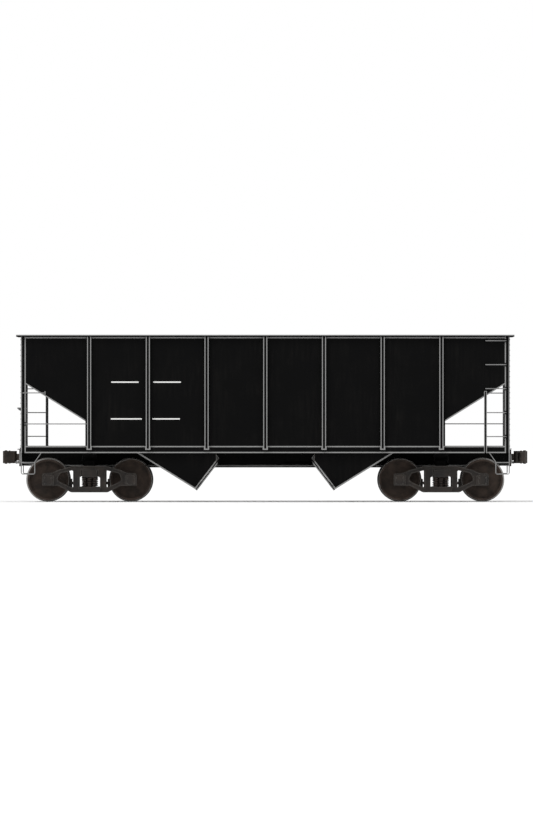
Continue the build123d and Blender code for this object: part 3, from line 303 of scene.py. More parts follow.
# Side sheets: black plates with four white painted rules on each side, bare scoured steel inside,
# their slanted lower edges over the open end bays rubbed grey.
RULE_HEIGHT, RULE_WHITE = 0.026, (0.80, 0.80, 0.785)
RULES = [(-3.112, -2.560, 2.420), (-2.261, -1.706, 2.420),
         (-3.120, -2.494, 1.677), (-2.281, -1.726, 1.677)]
SLOPE, TIP_X, TIP_Z, SHEET = math.radians(31.8), 1.412, 0.262, 0.008
WALL_IN, WALL_OUT, FACE = 1.4415, 1.4495, 1.4615
EDGE_LINE, BAY_FROM, HAIR = 0.024, 3.5, 0.001
SCOURED_DARK, SCOURED_LIGHT, SCRATCH = (0.050, 0.038, 0.031), (0.105, 0.094, 0.086), (0.21, 0.20, 0.19)


def over_slope(tree, x, z):
    """Height over the slope sheet's underside, square to it."""
    start = TIP_X * math.sin(SLOPE) - TIP_Z * math.cos(SLOPE) + SHEET
    fall = maths(tree, "MULTIPLY_ADD", x, -math.sin(SLOPE), start)
    return maths(tree, "MULTIPLY_ADD", z, math.cos(SLOPE), fall)


def sheet_wear(tree, x, y, z):
    return both(tree, under(tree, over_slope(tree, x, z), EDGE_LINE), over(tree, x, BAY_FROM))


def scoured_steel(tree, place):
    """Brown steel with long bright scratches where the load has run down it."""
    scratches = clouds(tree, place, 6.0, detail=6.0, roughness=0.7, stretch=(1.2, 14.0, 3.0))
    patches = clouds(tree, place, 1.7, detail=5.0, roughness=0.6)
    base = laid_over(tree, rise(tree, patches, 0.38, 0.66), SCOURED_DARK, SCOURED_LIGHT)
    return laid_over(tree, rise(tree, scratches, 0.55, 0.78), base, SCRATCH), scratches


def scour(tree, shader, place, colour, inside):
    """Gives the shader the paint's colour, with scoured steel where inside says."""
    bared = laid_over(tree, inside, colour, scoured_steel(tree, place)[0])
    tree.links.new(bared, shader.inputs["Base Color"])


side_finish, tree, shader, place, colour, (x, y, z) = painted_steel("side_sheet_paint", sheet_wear)
along = maths(tree, "MULTIPLY", x, maths(tree, "MULTIPLY", maths(tree, "SIGN", y), -1.0))
half = RULE_HEIGHT / 2
rules = [both(tree, band(tree, along, start, stop), band(tree, z, height - half, height + half))
         for start, stop, height in RULES]
chalked = rise(tree, clouds(tree, place, 40.0, detail=5.0), 0.24, 0.33)
colour = laid_over(tree, both(tree, either_of(tree, *rules), chalked), colour, RULE_WHITE)
scour(tree, shader, place, colour, under(tree, maths(tree, "ABSOLUTE", y), WALL_IN + HAIR))
give_finish(side_finish, "side_panels_near", "side_panels_far")


# End sheets: upright steel plates over the slope sheets, riveted to the end posts,
# black outside and scoured inside.
END_OUTER, END_INNER, HALF_LENGTH = 4.840, 4.832, 4.940
end_finish, tree, shader, place, colour, (x, y, z) = painted_steel("end_sheet_paint")
scour(tree, shader, place, colour, under(tree, maths(tree, "ABSOLUTE", x), END_INNER + HAIR))
give_finish(end_finish, "end_sheets")


# Hopper plates: slope sheets, ridge, headers, ledges, hoods and ties, scoured by the load on top
# and painted black underneath.
FACES_DOWN = -0.1
hopper_finish, tree, shader, place, _ = bare_finish("hopper_steel", gloss=0.4, roughness=0.5, metal=0.35)
steel, scratches = scoured_steel(tree, place)
underneath = under(tree, surface_way(tree)[2], FACES_DOWN)
tree.links.new(laid_over(tree, underneath, steel, DUSTY), shader.inputs["Base Color"])
roughened(tree, shader, scratches, depth=0.001)
give_finish(hopper_finish, "slope_sheets", "cross_ridge", "door_headers", "ledges", "centre_hoods",
            "cross_ties")


# Chute walls: black plates beside the sills, rubbed grey along their slanted lower edges,
# on the slope's side and on the side where the doors close, and scoured bare inside the chutes.
DOOR_LEAN, SLANT_LINE, MOUTH_LINE = math.radians(52.5), 0.028, 0.022
CHUTE_INNER, CHUTE_OUTER = 0.266, 1.300


def past_mouth(tree, x, z):
    """Distance out of the chute, square to the plane that the doors close on."""
    start = TIP_X * math.sin(DOOR_LEAN) + TIP_Z * math.cos(DOOR_LEAN)
    back = maths(tree, "MULTIPLY_ADD", x, -math.sin(DOOR_LEAN), start)
    return maths(tree, "MULTIPLY_ADD", z, -math.cos(DOOR_LEAN), back)


def chute_wear(tree, x, y, z):
    slant = under(tree, over_slope(tree, x, z), SLANT_LINE)
    return either_of(tree, slant, over(tree, past_mouth(tree, x, z), -MOUTH_LINE))


chute_finish, tree, shader, place, colour, (x, y, z) = painted_steel("chute_paint", chute_wear)
inside = band(tree, maths(tree, "ABSOLUTE", y), CHUTE_INNER - HAIR, CHUTE_OUTER + HAIR)
scour(tree, shader, place, colour, inside)
give_finish(chute_finish, "chute_walls")


# Doors: shallow black pans of plate, hung in pairs, the outer edges of their side plates rubbed grey,
# their inner faces scoured by the load.
PAN_DEPTH, PAN_LINE, PAN_SEAT, SQUARE_ON = 0.045, 0.020, 0.003, 0.9


def door_wear(tree, x, y, z):
    depth = past_mouth(tree, x, z)
    side_plate = over(tree, maths(tree, "ABSOLUTE", surface_way(tree)[1]), SQUARE_ON)
    line = both(tree, over(tree, depth, PAN_DEPTH - PAN_LINE), side_plate)
    return either_of(tree, line, over(tree, depth, PAN_DEPTH - 2 * HAIR))


door_finish, tree, shader, place, colour, (x, y, z) = painted_steel("door_paint", door_wear)
inside = under(tree, past_mouth(tree, maths(tree, "ABSOLUTE", x), z), PAN_SEAT + HAIR)
scour(tree, shader, place, colour, inside)
give_finish(door_finish, "doors_left", "doors_right")


# Door locks: cast catches fixed to the chute walls and painted with them,
# rubbed where the door's edge rides past.
def lock_wear(tree, x, y, z):
    depth = past_mouth(tree, x, z)
    return either_of(tree, band(tree, depth, -MOUTH_LINE, 0.0), over(tree, depth, PAN_DEPTH - PAN_LINE))


give_finish(painted_steel("lock_paint", lock_wear)[0], "door_locks")


# End framing, end sills and hinge brackets: rolled and cut sections in black,
# rubbed thin along every arris.
ARRIS_RUB, BRACKET_RUB, TURN_FROM, TURN_FULL = 0.010, 0.032, 0.012, 0.05


def edge_wear(tree, x, y, z, width=ARRIS_RUB):
    """Wear along every edge, found by comparing the surface with a rounded one."""
    rounded = tree.nodes.new("ShaderNodeBevel")
    rounded.samples = 6
    rounded.inputs["Radius"].default_value = width
    geometry = tree.nodes.new("ShaderNodeNewGeometry")
    likeness = tree.nodes.new("ShaderNodeVectorMath")
    likeness.operation = "DOT_PRODUCT"
    tree.links.new(rounded.outputs[0], likeness.inputs[0])
    tree.links.new(geometry.outputs["Normal"], likeness.inputs[1])
    return rise(tree, maths(tree, "SUBTRACT", 1.0, likeness.outputs["Value"]), TURN_FROM, TURN_FULL)


def bracket_wear(tree, x, y, z):
    return edge_wear(tree, x, y, z, BRACKET_RUB)


give_finish(painted_steel("framing_paint", edge_wear)[0], "end_frames", "end_sills")
give_finish(painted_steel("bracket_paint", bracket_wear)[0], "hinge_brackets")


# Underframe: the centre sill's two Z sections, rubbed along their lower flanges' edges, and the bolsters,
# the brake gear and its bed in plain black.
FLANGE_LINE = 0.020
centre_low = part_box("centre_sill")[0]


def flange_wear(tree, x, y, z):
    upright = over(tree, maths(tree, "ABSOLUTE", surface_way(tree)[1]), SQUARE_ON)
    return both(tree, upright, under(tree, z, centre_low.z + FLANGE_LINE))


give_finish(painted_steel("centre_sill_paint", flange_wear)[0], "centre_sill")
give_finish(painted_steel("underframe_paint")[0], "body_bolsters", "brake_bed", "brake_rods",
            "brake_cylinder", "air_reservoir")


# Grab irons, steps, uncoupling levers, the hand brake and the train pipe: round and flat bar and tube
# in grey paint, darkened in patches by hands and boots; the brake step is a ribbed board in the same grey.
BAR_GREY, WORN_GREY = (0.22, 0.22, 0.218), (0.14, 0.14, 0.14)
RIB_PITCH, RIB_DEPTH = 0.012, 0.004


def grey_bar(name, ribbed=False):
    made, tree, shader, place, (x, y, z) = bare_finish(name, gloss=0.2, roughness=0.6)
    colour = laid_over(tree, rise(tree, clouds(tree, place, 7.0), 0.42, 0.78), BAR_GREY, WORN_GREY)
    tree.links.new(colour, shader.inputs["Base Color"])
    if ribbed:
        ribs = maths(tree, "PINGPONG", maths(tree, "ADD", x, y), RIB_PITCH)
        roughened(tree, shader, ribs, RIB_DEPTH, strength=0.8)
    else:
        roughened(tree, shader, clouds(tree, place, 130.0, detail=2.0), depth=0.0004)
    return made, tree, shader, place, colour, (x, y, z)


bar_finish = grey_bar("bar_grey")[0]
give_finish(bar_finish, "sill_steps", "handholds", "hand_brake", "uncoupling_levers", "train_pipe")
give_finish(grey_bar("board_grey", ribbed=True)[0], "brake_step")


# Ladders: black angle stiles with rubbed edges, fastened on the sills,
# and grey round rungs bent back to the posts.
STILE_X, STILE_HALF, STILE_TOP, STILE_LINE, STILE_REACH = 4.449, 0.028, 2.239, 0.013, 0.005


def stile_paint(tree, shader, colour, stile, core):
    """Gives the shader the rungs' grey, with primer on the stile's edges and black between them."""
    edged = laid_over(tree, stile, colour, PRIMER)
    tree.links.new(laid_over(tree, core, edged, BLACK), shader.inputs["Base Color"])


ladder_finish, tree, shader, place, colour, (x, _, z) = grey_bar("side_ladder_paint")
worn_x, worn_z = maths(tree, "ABSOLUTE", ragged(tree, place, x)), ragged(tree, place, z)
off_stile = maths(tree, "ABSOLUTE", maths(tree, "SUBTRACT", worn_x, STILE_X))
stile, core = (both(tree, under(tree, off_stile, STILE_HALF + more), under(tree, worn_z, STILE_TOP + more))
               for more in (STILE_REACH, -STILE_LINE))
stile_paint(tree, shader, colour, stile, core)
give_finish(ladder_finish, "side_ladders")

END_STILE_IN, END_STILE_OUT, END_STILE_LINE, END_STILE_REACH = 1.000, 1.056, 0.012, 0.004
ladder_finish, tree, shader, place, colour, (_, y, _) = grey_bar("end_ladder_paint")
worn_y = maths(tree, "ABSOLUTE", ragged(tree, place, y))
stile, core = (band(tree, worn_y, END_STILE_IN - more, END_STILE_OUT + more)
               for more in (END_STILE_REACH, -END_STILE_LINE))
stile_paint(tree, shader, colour, stile, core)
give_finish(ladder_finish, "end_ladders")


# Castings: bogie frames and bolsters, brake beams, centre plates, draft gears, couplers, knuckles,
# strikers and the control valve, of dark steel with a sandy skin, a little rust, and rubbed edges.
BOGIE_CAST = (0.014, 0.013, 0.0125), (0.036, 0.028, 0.023)
COUPLER_CAST = (0.018, 0.016, 0.015), (0.052, 0.038, 0.030)
RUBBED_CAST = (0.13, 0.12, 0.11)


def cast_skin(name, dark, light):
    made, tree, shader, place, (x, y, z) = bare_finish(name, gloss=0.3, roughness=0.75)
    patches = clouds(tree, place, 3.5, detail=6.0, roughness=0.65)
    sand = clouds(tree, place, 170.0, detail=2.0)
    colour = laid_over(tree, rise(tree, patches, 0.35, 0.72), dark, light)
    rub = both(tree, edge_wear(tree, x, y, z), rise(tree, sand, 0.3, 0.6))
    tree.links.new(laid_over(tree, rub, colour, RUBBED_CAST), shader.inputs["Base Color"])
    roughened(tree, shader, sand, depth=0.0012)
    return made


bogie_skin = cast_skin("bogie_casting", *BOGIE_CAST)
give_finish(bogie_skin, "side_frames_left", "side_frames_right", "bolster_left", "bolster_right")
give_finish(bogie_skin, "brake_beams_left", "brake_beams_right", "centre_plates", "draft_gears")
coupler_skin = cast_skin("coupler_casting", *COUPLER_CAST)
give_finish(coupler_skin, "coupler_left", "coupler_right", "knuckle_left", "knuckle_right", "strikers")
give_finish(coupler_skin, "control_valve")


# Wheelsets: two rolled steel wheels pressed on a forged axle, rusty brown on plate and axle,
# bright where the rail polishes the treads.
AXLE_PLACES, AXLE_HEIGHT = (2.720, 4.396), 0.445
TREAD_INSIDE, WHEEL_BACK, RUST_ROUGH, POLISH = 0.4165, 0.6772, 0.75, 0.45
WHEEL_BROWN, WHEEL_RUST, TREAD_BRIGHT = (0.028, 0.021, 0.017), (0.070, 0.049, 0.038), (0.27, 0.26, 0.25)
wheel_finish, tree, shader, place, (x, y, z) = bare_finish(
    "wheel_steel_skin", gloss=0.4, roughness=0.6, metal=0.5)
patches = clouds(tree, place, 5.0, detail=5.0, roughness=0.6)
rust = laid_over(tree, rise(tree, patches, 0.36, 0.70), WHEEL_BROWN, WHEEL_RUST)
up, mirrored = maths(tree, "SUBTRACT", z, AXLE_HEIGHT), maths(tree, "ABSOLUTE", x)
to_axles = [maths(tree, "ABSOLUTE", maths(tree, "SUBTRACT", mirrored, axle)) for axle in AXLE_PLACES]
nearest = maths(tree, "MINIMUM", *to_axles)
squares = maths(tree, "MULTIPLY_ADD", up, up, maths(tree, "MULTIPLY", nearest, nearest))
rim = over(tree, maths(tree, "SQRT", squares), TREAD_INSIDE)
polished = both(tree, rim, over(tree, maths(tree, "ABSOLUTE", y), WHEEL_BACK))
tree.links.new(laid_over(tree, polished, rust, TREAD_BRIGHT), shader.inputs["Base Color"])
tree.links.new(maths(tree, "MULTIPLY_ADD", polished, -POLISH, RUST_ROUGH), shader.inputs["Roughness"])
roughened(tree, shader, patches, depth=0.002)
give_finish(wheel_finish, "wheelset_left_outer", "wheelset_left_inner", "wheelset_right_outer",
            "wheelset_right_inner")


# Coil springs: five nested pairs on each side of a bogie, wound from round bar, standing between
# the side frame's seat and the bolster's end.
SPRING_PLACES = [(-0.110, 0.052), (0.0, 0.052), (0.110, 0.052), (-0.055, -0.052), (0.055, -0.052)]
JOURNAL_Y, BOGIE_X = 0.978, 3.558
OUTER_COIL, INNER_COIL = (0.039, 0.009, 5), (0.0215, 0.006, 7)
COIL_SIDES, STEPS_IN_TURN, MERGE = 8, 14, 0.0001
SPRING_DARK, SPRING_RUST = (0.018, 0.016, 0.015), (0.058, 0.038, 0.029)
ENDS = (("left", -1), ("right", 1))
spring_low, spring_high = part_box("springs_right")


def wound_coil(radius, bar_radius, turns):
    """One coil about the origin: the bar's round section wound up by the Screw modifier, ends closed."""
    bpy.ops.object.select_all(action="DESELECT")
    bpy.ops.mesh.primitive_circle_add(vertices=COIL_SIDES, radius=bar_radius, fill_type="NOTHING",
                                      location=(radius, 0, spring_low.z + bar_radius),
                                      rotation=(math.radians(90), 0, 0))
    coil = bpy.context.object
    bpy.ops.object.transform_apply(location=True, rotation=True, scale=True)
    wind = coil.modifiers.new("wind", "SCREW")
    wind.steps = wind.render_steps = STEPS_IN_TURN
    wind.iterations = turns
    wind.screw_offset = (spring_high.z - spring_low.z - 2 * bar_radius) / turns
    wind.use_merge_vertices = False
    bpy.ops.object.modifier_apply(modifier="wind")
    bpy.ops.object.mode_set(mode="EDIT")
    bpy.ops.mesh.select_all(action="SELECT")
    bpy.ops.mesh.remove_doubles(threshold=MERGE)
    bpy.ops.mesh.select_all(action="DESELECT")
    bpy.ops.mesh.select_non_manifold()
    bpy.ops.mesh.edge_face_add()
    bpy.ops.mesh.select_all(action="SELECT")
    bpy.ops.mesh.normals_make_consistent(inside=False)
    bpy.ops.object.mode_set(mode="OBJECT")
    return coil


def set_out(pattern, name, studs, finish, body, rounded=True):
    """Copies of a pattern that stands on the origin, one at each (place, way it faces), as one piece.

    The pattern faces +Z there, and its +Y stays uppermost where it faces sideways.
    """
    copies = []
    for place, way in studs:
        copy = pattern.copy()
        copy.data = pattern.data.copy()
        copy.rotation_mode = "QUATERNION"
        copy.rotation_quaternion = Vector(way).to_track_quat("Z", "Y")
        copy.location = place
        bpy.context.scene.collection.objects.link(copy)
        copies.append(copy)
    bpy.ops.object.select_all(action="DESELECT")
    for copy in copies:
        copy.select_set(True)
    made = bpy.context.view_layer.objects.active = copies[0]
    bpy.ops.object.join()
    bpy.ops.object.transform_apply(location=True, rotation=True, scale=True)
    made.rotation_mode = "XYZ"
    made.name = name
    if rounded:
        bpy.ops.object.shade_smooth_by_angle(angle=math.radians(50))
    made.data.materials.clear()
    made.data.materials.append(finish)
    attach(made, body)
    bpy.ops.object.select_all(action="DESELECT")
    return made


spring_finish, tree, shader, place, _ = bare_finish("spring_steel_skin", gloss=0.35, roughness=0.6)
scale_rust = clouds(tree, place, 25.0)
colour = laid_over(tree, rise(tree, scale_rust, 0.4, 0.7), SPRING_DARK, SPRING_RUST)
tree.links.new(colour, shader.inputs["Base Color"])
roughened(tree, shader, scale_rust, depth=0.0008)
outer_coil, inner_coil = wound_coil(*OUTER_COIL), wound_coil(*INNER_COIL)
for end, side in ENDS:
    seats = [((side * BOGIE_X + dx, across * (JOURNAL_Y + dy), 0), (0, 0, 1))
             for across in (-1, 1) for dx, dy in SPRING_PLACES]
    for which, coil in (("outer", outer_coil), ("inner", inner_coil)):
        wound = set_out(coil, f"{which}_coils_{end}", seats, spring_finish, f"bogie_{end}")
        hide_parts(f"springs_{end}")
for coil in (outer_coil, inner_coil):
    bpy.data.objects.remove(coil)


# Side frame ribs: the casting's raised flanges round its outline, its windows and its spring opening,
# proud of the outer face between them.
FRAME_FACE, RIB_WIDTH, RIB_PROUD = 1.033, 0.018, 0.012
FRAME_OUTLINE = [(0.330, 0.726), (0.640, 0.640), (0.745, 0.590), (0.945, 0.575), (0.960, 0.540),
                 (0.960, 0.330), (0.730, 0.322), (0.640, 0.330), (0.372, 0.192)]
FRAME_WINDOW = [(0.330, 0.640), (0.600, 0.575), (0.655, 0.440), (0.600, 0.400), (0.330, 0.275)]
SPRING_OPENING = [(0.215, 0.300), (0.215, 0.490), (0.165, 0.515), (0.165, 0.650)]
OUTLINE_CORNER, WINDOW_CORNER, OPENING_CORNER = 0.014, 0.022, 0.004


def cast_rib(outline, corner, outside):
    """A raised band on the ground plane, just inside a closed outline, or just outside it."""
    bpy.ops.object.select_all(action="DESELECT")
    bpy.ops.mesh.primitive_circle_add(vertices=len(outline), radius=1, fill_type="NGON", location=(0, 0, 0))
    rib = bpy.context.object
    for vertex, (across, up) in zip(rib.data.vertices, outline):
        vertex.co = (across, up, 0)
    bpy.ops.object.mode_set(mode="EDIT")
    bpy.ops.mesh.select_all(action="SELECT")
    bpy.ops.mesh.bevel(offset=corner, affect="VERTICES")
    bpy.ops.mesh.delete(type="ONLY_FACE")
    bpy.ops.mesh.select_all(action="SELECT")
    bpy.ops.mesh.extrude_region_move(TRANSFORM_OT_translate={"value": (0, 0, RIB_PROUD)})
    bpy.ops.mesh.select_all(action="SELECT")
    bpy.ops.mesh.normals_make_consistent(inside=False)
    bpy.ops.object.mode_set(mode="OBJECT")
    wall = rib.modifiers.new("wall", "SOLIDIFY")
    wall.thickness = RIB_WIDTH
    wall.offset = 1 if outside else -1
    wall.use_even_offset = True
    bpy.ops.object.modifier_apply(modifier="wall")
    return rib


def with_mirror(points):
    return points + [(-across, up) for across, up in reversed(points)]


def as_one(pieces):
    bpy.ops.object.select_all(action="DESELECT")
    for piece in pieces:
        piece.select_set(True)
    bpy.context.view_layer.objects.active = pieces[0]
    bpy.ops.object.join()
    return pieces[0]


frame_ribs = as_one([cast_rib(with_mirror(FRAME_OUTLINE), OUTLINE_CORNER, False),
                     cast_rib(FRAME_WINDOW, WINDOW_CORNER, True),
                     cast_rib([(-across, up) for across, up in FRAME_WINDOW], WINDOW_CORNER, True),
                     cast_rib(with_mirror(SPRING_OPENING), OPENING_CORNER, True)])
for end, side in ENDS:
    faces = [((side * BOGIE_X, across * FRAME_FACE, 0), (0, across, 0)) for across in (-1, 1)]
    set_out(frame_ribs, f"frame_ribs_{end}", faces, bogie_skin, f"bogie_{end}", False)
bpy.data.objects.remove(frame_ribs)


# Journal box lids: cast covers on the outer ends of the boxes, each held by four hexagon bolts
# and hung from a round hinge barrel over its top.
HALF_BASE, LID_FACE, BOX_FACE = 0.838, 1.092, 1.078
BOLT_SIZE, BOLT_THICK, BOLT_ACROSS, BOLT_HEIGHTS = 0.024, 0.010, 0.064, (0.374, 0.482)
HEAD_CHAMFER, CHAMFER_RISE, SHANK_INSET, SHANK_PROUD = 0.0025, 0.0015, 0.0020, 0.004
BARREL_RADIUS, BARREL_LENGTH, BARREL_UP, BARREL_OUT, BARREL_ROUND = 0.013, 0.100, 0.552, 0.004, 0.003


def topped(height):
    """Selects the faces of the shape in hand that look up from the given height."""
    shape = bpy.context.object.data
    bpy.ops.mesh.select_all(action="DESELECT")
    bpy.ops.object.mode_set(mode="OBJECT")
    for face in shape.polygons:
        face.select = face.center.z > height and face.normal.z > SQUARE_ON
    bpy.ops.object.mode_set(mode="EDIT")


bpy.ops.object.select_all(action="DESELECT")
bpy.ops.mesh.primitive_cylinder_add(vertices=6, radius=BOLT_SIZE / 2, depth=BOLT_THICK,
                                    location=(0, 0, BOLT_THICK / 2))
bolt = bpy.context.object
bpy.ops.object.transform_apply(location=True, rotation=True, scale=True)
bpy.ops.object.mode_set(mode="EDIT")
bpy.ops.mesh.select_mode(type="FACE")
topped(BOLT_THICK * 0.9)
bpy.ops.mesh.inset(thickness=HEAD_CHAMFER, depth=CHAMFER_RISE)
bpy.ops.mesh.inset(thickness=SHANK_INSET)
bpy.ops.transform.translate(value=(0, 0, SHANK_PROUD))
bpy.ops.object.mode_set(mode="OBJECT")

bpy.ops.object.select_all(action="DESELECT")
bpy.ops.mesh.primitive_cylinder_add(vertices=10, radius=BARREL_RADIUS, depth=BARREL_LENGTH,
                                    location=(0, 0, BARREL_OUT), rotation=(0, math.radians(90), 0))
barrel = bpy.context.object
bpy.ops.object.transform_apply(location=True, rotation=True, scale=True)
rounding = barrel.modifiers.new("rounding", "BEVEL")
rounding.width, rounding.segments = BARREL_ROUND, 1
bpy.ops.object.modifier_apply(modifier="rounding")

for end, side in ENDS:
    boxes = [(side * BOGIE_X + axle, across) for across in (-1, 1) for axle in (-HALF_BASE, HALF_BASE)]
    heads = [((x + dx, across * LID_FACE, z), (0, across, 0))
             for x, across in boxes for dx in (-BOLT_ACROSS, BOLT_ACROSS) for z in BOLT_HEIGHTS]
    barrels = [((x, across * BOX_FACE, BARREL_UP), (0, across, 0)) for x, across in boxes]
    set_out(bolt, f"lid_bolts_{end}", heads, bogie_skin, f"bogie_{end}", False)
    set_out(barrel, f"lid_hinges_{end}", barrels, bogie_skin, f"bogie_{end}")
bpy.data.objects.remove(barrel)


# Rivets: low round heads in the body's own black, in rows down the stakes and corner posts, along the
# sills and chords, round the chutes and across the ends; the same rivets show again inside,
# and the strikers' rivets have the casting's skin.
RIVET_RADIUS, RIVET_PROUD = 0.014, 0.007
STAKE_RUN, STAKE_ROW = (1.165, 3.270, 0.105), 0.062
SLOPE_CLEAR, RIDGE_HALF, RIDGE_TOP = 0.12, 1.0, 2.1
SIDE_RUN, SILL_ROW, CHORD_ROW, INNER_ROW = (-4.78, 4.78, 0.1), 0.072, 0.029, 0.060
STAKE_CLEAR, STILE_CLEAR = 0.085, 0.05
CORNER_RUN, CORNER_X, CORNER_Y = (1.03, 3.28, 0.105), 4.895, 1.418
SHEET_RUN, SHEET_ROW = (3.70, 4.79, 0.1), 0.036
CHUTE_ROW_Y, SLANT_RUN, SLANT_BACK, SLANT_UP = 1.308, (0.12, 1.42, 0.095), 0.020, 0.036
MOUTH_RUN, MOUTH_BACK, MOUTH_UP = (0.26, 0.62, 0.09), 0.034, 0.010
END_RUN, END_ROW, POST_Y, POST_CLEAR = (-1.30, 1.30, 0.1), 2.420, 0.52, 0.06
END_SILL_RUN, END_SILL_ROW, SILL_CLEAR = (-1.34, 1.34, 0.12), 0.125, 0.26
STRIKER_ACROSS, STRIKER_HEIGHTS, STRIKER_FACE = 0.195, (0.80, 0.88, 0.96), 0.050
SLOPE_ROWS, SLOPE_RUN = (4.770, 3.558), (-1.38, 1.38, 0.1)


def spaced(start, stop, pitch):
    count = max(1, round((stop - start) / pitch))
    return [start + (stop - start) * n / count for n in range(count + 1)]


def slope_height(x):
    return TIP_Z + (abs(x) - TIP_X) * math.tan(SLOPE)


bpy.ops.mesh.primitive_uv_sphere_add(segments=8, ring_count=6, radius=RIVET_RADIUS, location=(0, 0, 0))
rivet = bpy.context.object
bpy.ops.object.mode_set(mode="EDIT")
bpy.ops.mesh.select_mode(type="VERT")
bpy.ops.mesh.select_all(action="DESELECT")
bpy.ops.object.mode_set(mode="OBJECT")
for vertex in rivet.data.vertices:
    vertex.select = vertex.co.z < -RIVET_RADIUS / 10
bpy.ops.object.mode_set(mode="EDIT")
bpy.ops.mesh.delete(type="VERT")
bpy.ops.mesh.select_non_manifold()
bpy.ops.mesh.edge_face_add()
bpy.ops.mesh.select_all(action="SELECT")
bpy.ops.transform.resize(value=(1, 1, RIVET_PROUD / RIVET_RADIUS), center_override=(0, 0, 0))
bpy.ops.mesh.normals_make_consistent(inside=False)
bpy.ops.object.mode_set(mode="OBJECT")

stakes = [STAKE_PITCH * n for n in range(-3, 4)]
stake_studs, sill_studs, shell_studs, chute_studs = [], [], [], []
end_studs, striker_studs, inner_studs = [], [], []
for side in (-1, 1):
    out, back = (0, side, 0), (0, -side, 0)
    for x in stakes:
        for z in spaced(*STAKE_RUN):
            for dx in (-STAKE_ROW, STAKE_ROW):
                stake_studs.append(((x + dx, side * (WALL_OUT + SHEET), z), out))
                if z > slope_height(x) + SLOPE_CLEAR and (abs(x) > RIDGE_HALF or z > RIDGE_TOP):
                    inner_studs.append(((x + dx, side * WALL_IN, z), back))
    for x in spaced(*SIDE_RUN):
        clear_of_stake = min(abs(x - stake) for stake in stakes) > STAKE_CLEAR
        if clear_of_stake and abs(-side * x - STILE_X) > STILE_CLEAR:
            sill_studs.append(((x, side * FACE, sill_low.z + SILL_ROW), out))
        if clear_of_stake:
            sill_studs.append(((x, side * FACE, coping_high.z - CHORD_ROW), out))
            inner_studs.append(((x, side * WALL_IN, coping_high.z - INNER_ROW), back))
    for end in (-1, 1):
        for z in spaced(*CORNER_RUN):
            shell_studs.append(((end * CORNER_X, side * FACE, z), out))
            end_studs.append(((end * HALF_LENGTH, side * CORNER_Y, z), (end, 0, 0)))
        for x in spaced(*SHEET_RUN):
            shell_studs.append(((end * x, side * WALL_OUT, slope_height(x) + SHEET_ROW), out))
        for run in spaced(*SLANT_RUN):
            x, z = TIP_X + run * math.cos(SLOPE), TIP_Z + run * math.sin(SLOPE)
            chute_studs.append(((end * (x - SLANT_BACK), side * CHUTE_ROW_Y, z + SLANT_UP), out))
        for run in spaced(*MOUTH_RUN):
            x, z = TIP_X - run * math.cos(DOOR_LEAN), TIP_Z + run * math.sin(DOOR_LEAN)
            chute_studs.append(((end * (x + MOUTH_BACK), side * CHUTE_ROW_Y, z + MOUTH_UP), out))
for end in (-1, 1):
    out, into, off_slope = (end, 0, 0), (-end, 0, 0), (-end * math.sin(SLOPE), 0, math.cos(SLOPE))
    for y in spaced(*END_RUN):
        if abs(abs(y) - POST_Y) > POST_CLEAR:
            end_studs.append(((end * END_OUTER, y, END_ROW), out))
            inner_studs.append(((end * END_INNER, y, END_ROW), into))
    for y in spaced(*END_SILL_RUN):
        if abs(y) > SILL_CLEAR:
            end_studs.append(((end * HALF_LENGTH, y, sill_low.z + END_SILL_ROW), out))
    for y in (-STRIKER_ACROSS, STRIKER_ACROSS):
        for z in STRIKER_HEIGHTS:
            striker_studs.append(((end * (HALF_LENGTH + STRIKER_FACE), y, z), out))
    for x in SLOPE_ROWS:
        for y in spaced(*SLOPE_RUN):
            inner_studs.append(((end * x, y, slope_height(x)), off_slope))
rivet_paint = painted_steel("rivet_paint")[0]
set_out(rivet, "stake_rivets", stake_studs, rivet_paint, "wagon_body")
set_out(rivet, "sill_rivets", sill_studs, rivet_paint, "wagon_body")
set_out(rivet, "shell_rivets", shell_studs, rivet_paint, "wagon_body")
set_out(rivet, "chute_rivets", chute_studs, rivet_paint, "wagon_body")
set_out(rivet, "end_rivets", end_studs, rivet_paint, "wagon_body")
set_out(rivet, "striker_rivets", striker_studs, coupler_skin, "wagon_body")
set_out(rivet, "inner_rivets", inner_studs, hopper_finish, "wagon_body")
bpy.data.objects.remove(rivet)


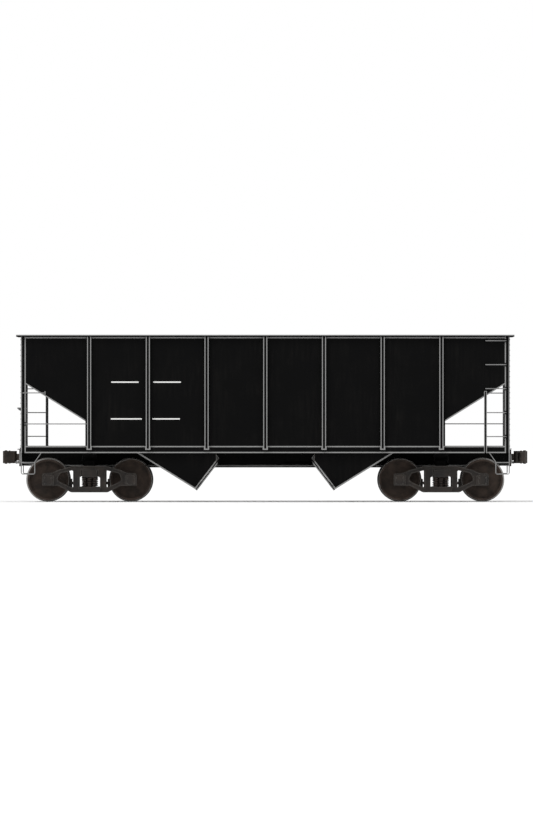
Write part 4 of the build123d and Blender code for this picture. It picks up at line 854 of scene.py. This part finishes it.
# Feet of rungs and grab irons: a small forged palm under each leg, held by two hexagon bolts,
# black with the posts, and grey on the grab irons beside the open bays.
PALM = (0.026, 0.070, 0.005)
GRAB_HEIGHT, RAIL_HEIGHT, END_GRAB_HEIGHT = 2.202, 1.575, 1.063
POST_FOOT, RUNG_HEIGHTS, FREE_RUNGS = 4.855, (3.256, 2.772, 2.288, 1.804, 1.320), 3
RUNG_IN, GRAB_FOOT, RAIL_FOOT, END_GRAB_FEET = 0.010, 4.890, 3.619, (0.700, 1.200)
PALM_BOLT, PALM_CHAMFER = 0.022, 0.002

bpy.ops.object.select_all(action="DESELECT")
bpy.ops.mesh.primitive_cube_add(size=1, location=(0, 0, PALM[2] / 2))
palm = bpy.context.object
bpy.ops.transform.resize(value=PALM, center_override=(0, 0, PALM[2] / 2))
bpy.ops.object.transform_apply(location=True, rotation=True, scale=True)
bpy.ops.object.mode_set(mode="EDIT")
bpy.ops.mesh.select_mode(type="FACE")
topped(PALM[2] * 0.9)
bpy.ops.mesh.bevel(offset=PALM_CHAMFER, segments=1)
bpy.ops.object.mode_set(mode="OBJECT")
palm_bolts = []
for up in (-PALM_BOLT, PALM_BOLT):
    copy = bolt.copy()
    copy.data = bolt.data.copy()
    copy.location = (0, up, PALM[2])
    bpy.context.scene.collection.objects.link(copy)
    palm_bolts.append(copy)
palm = as_one([palm, *palm_bolts])

black_feet, grey_feet = [], []
for side in (-1, 1):
    out = (0, side, 0)
    for z in RUNG_HEIGHTS:
        black_feet.append(((-side * POST_FOOT, side * FACE, z), out))
    for z in RUNG_HEIGHTS[:FREE_RUNGS]:
        black_feet.append(((-side * (STILE_X + RUNG_IN), side * WALL_OUT, z), out))
    grey_feet.append(((side * STILE_X, side * WALL_OUT, GRAB_HEIGHT), out))
    black_feet.append(((side * GRAB_FOOT, side * FACE, GRAB_HEIGHT), out))
    black_feet.append(((side * POST_FOOT, side * FACE, RAIL_HEIGHT), out))
    black_feet.append(((side * RAIL_FOOT, side * (WALL_OUT + SHEET), RAIL_HEIGHT), out))
for end in (-1, 1):
    for y in END_GRAB_FEET:
        black_feet.append(((end * HALF_LENGTH, end * y, END_GRAB_HEIGHT), (end, 0, 0)))
set_out(palm, "black_feet", black_feet, rivet_paint, "wagon_body", False)
set_out(palm, "grey_feet", grey_feet, bar_finish, "wagon_body", False)
for pattern in (palm, bolt):
    bpy.data.objects.remove(pattern)
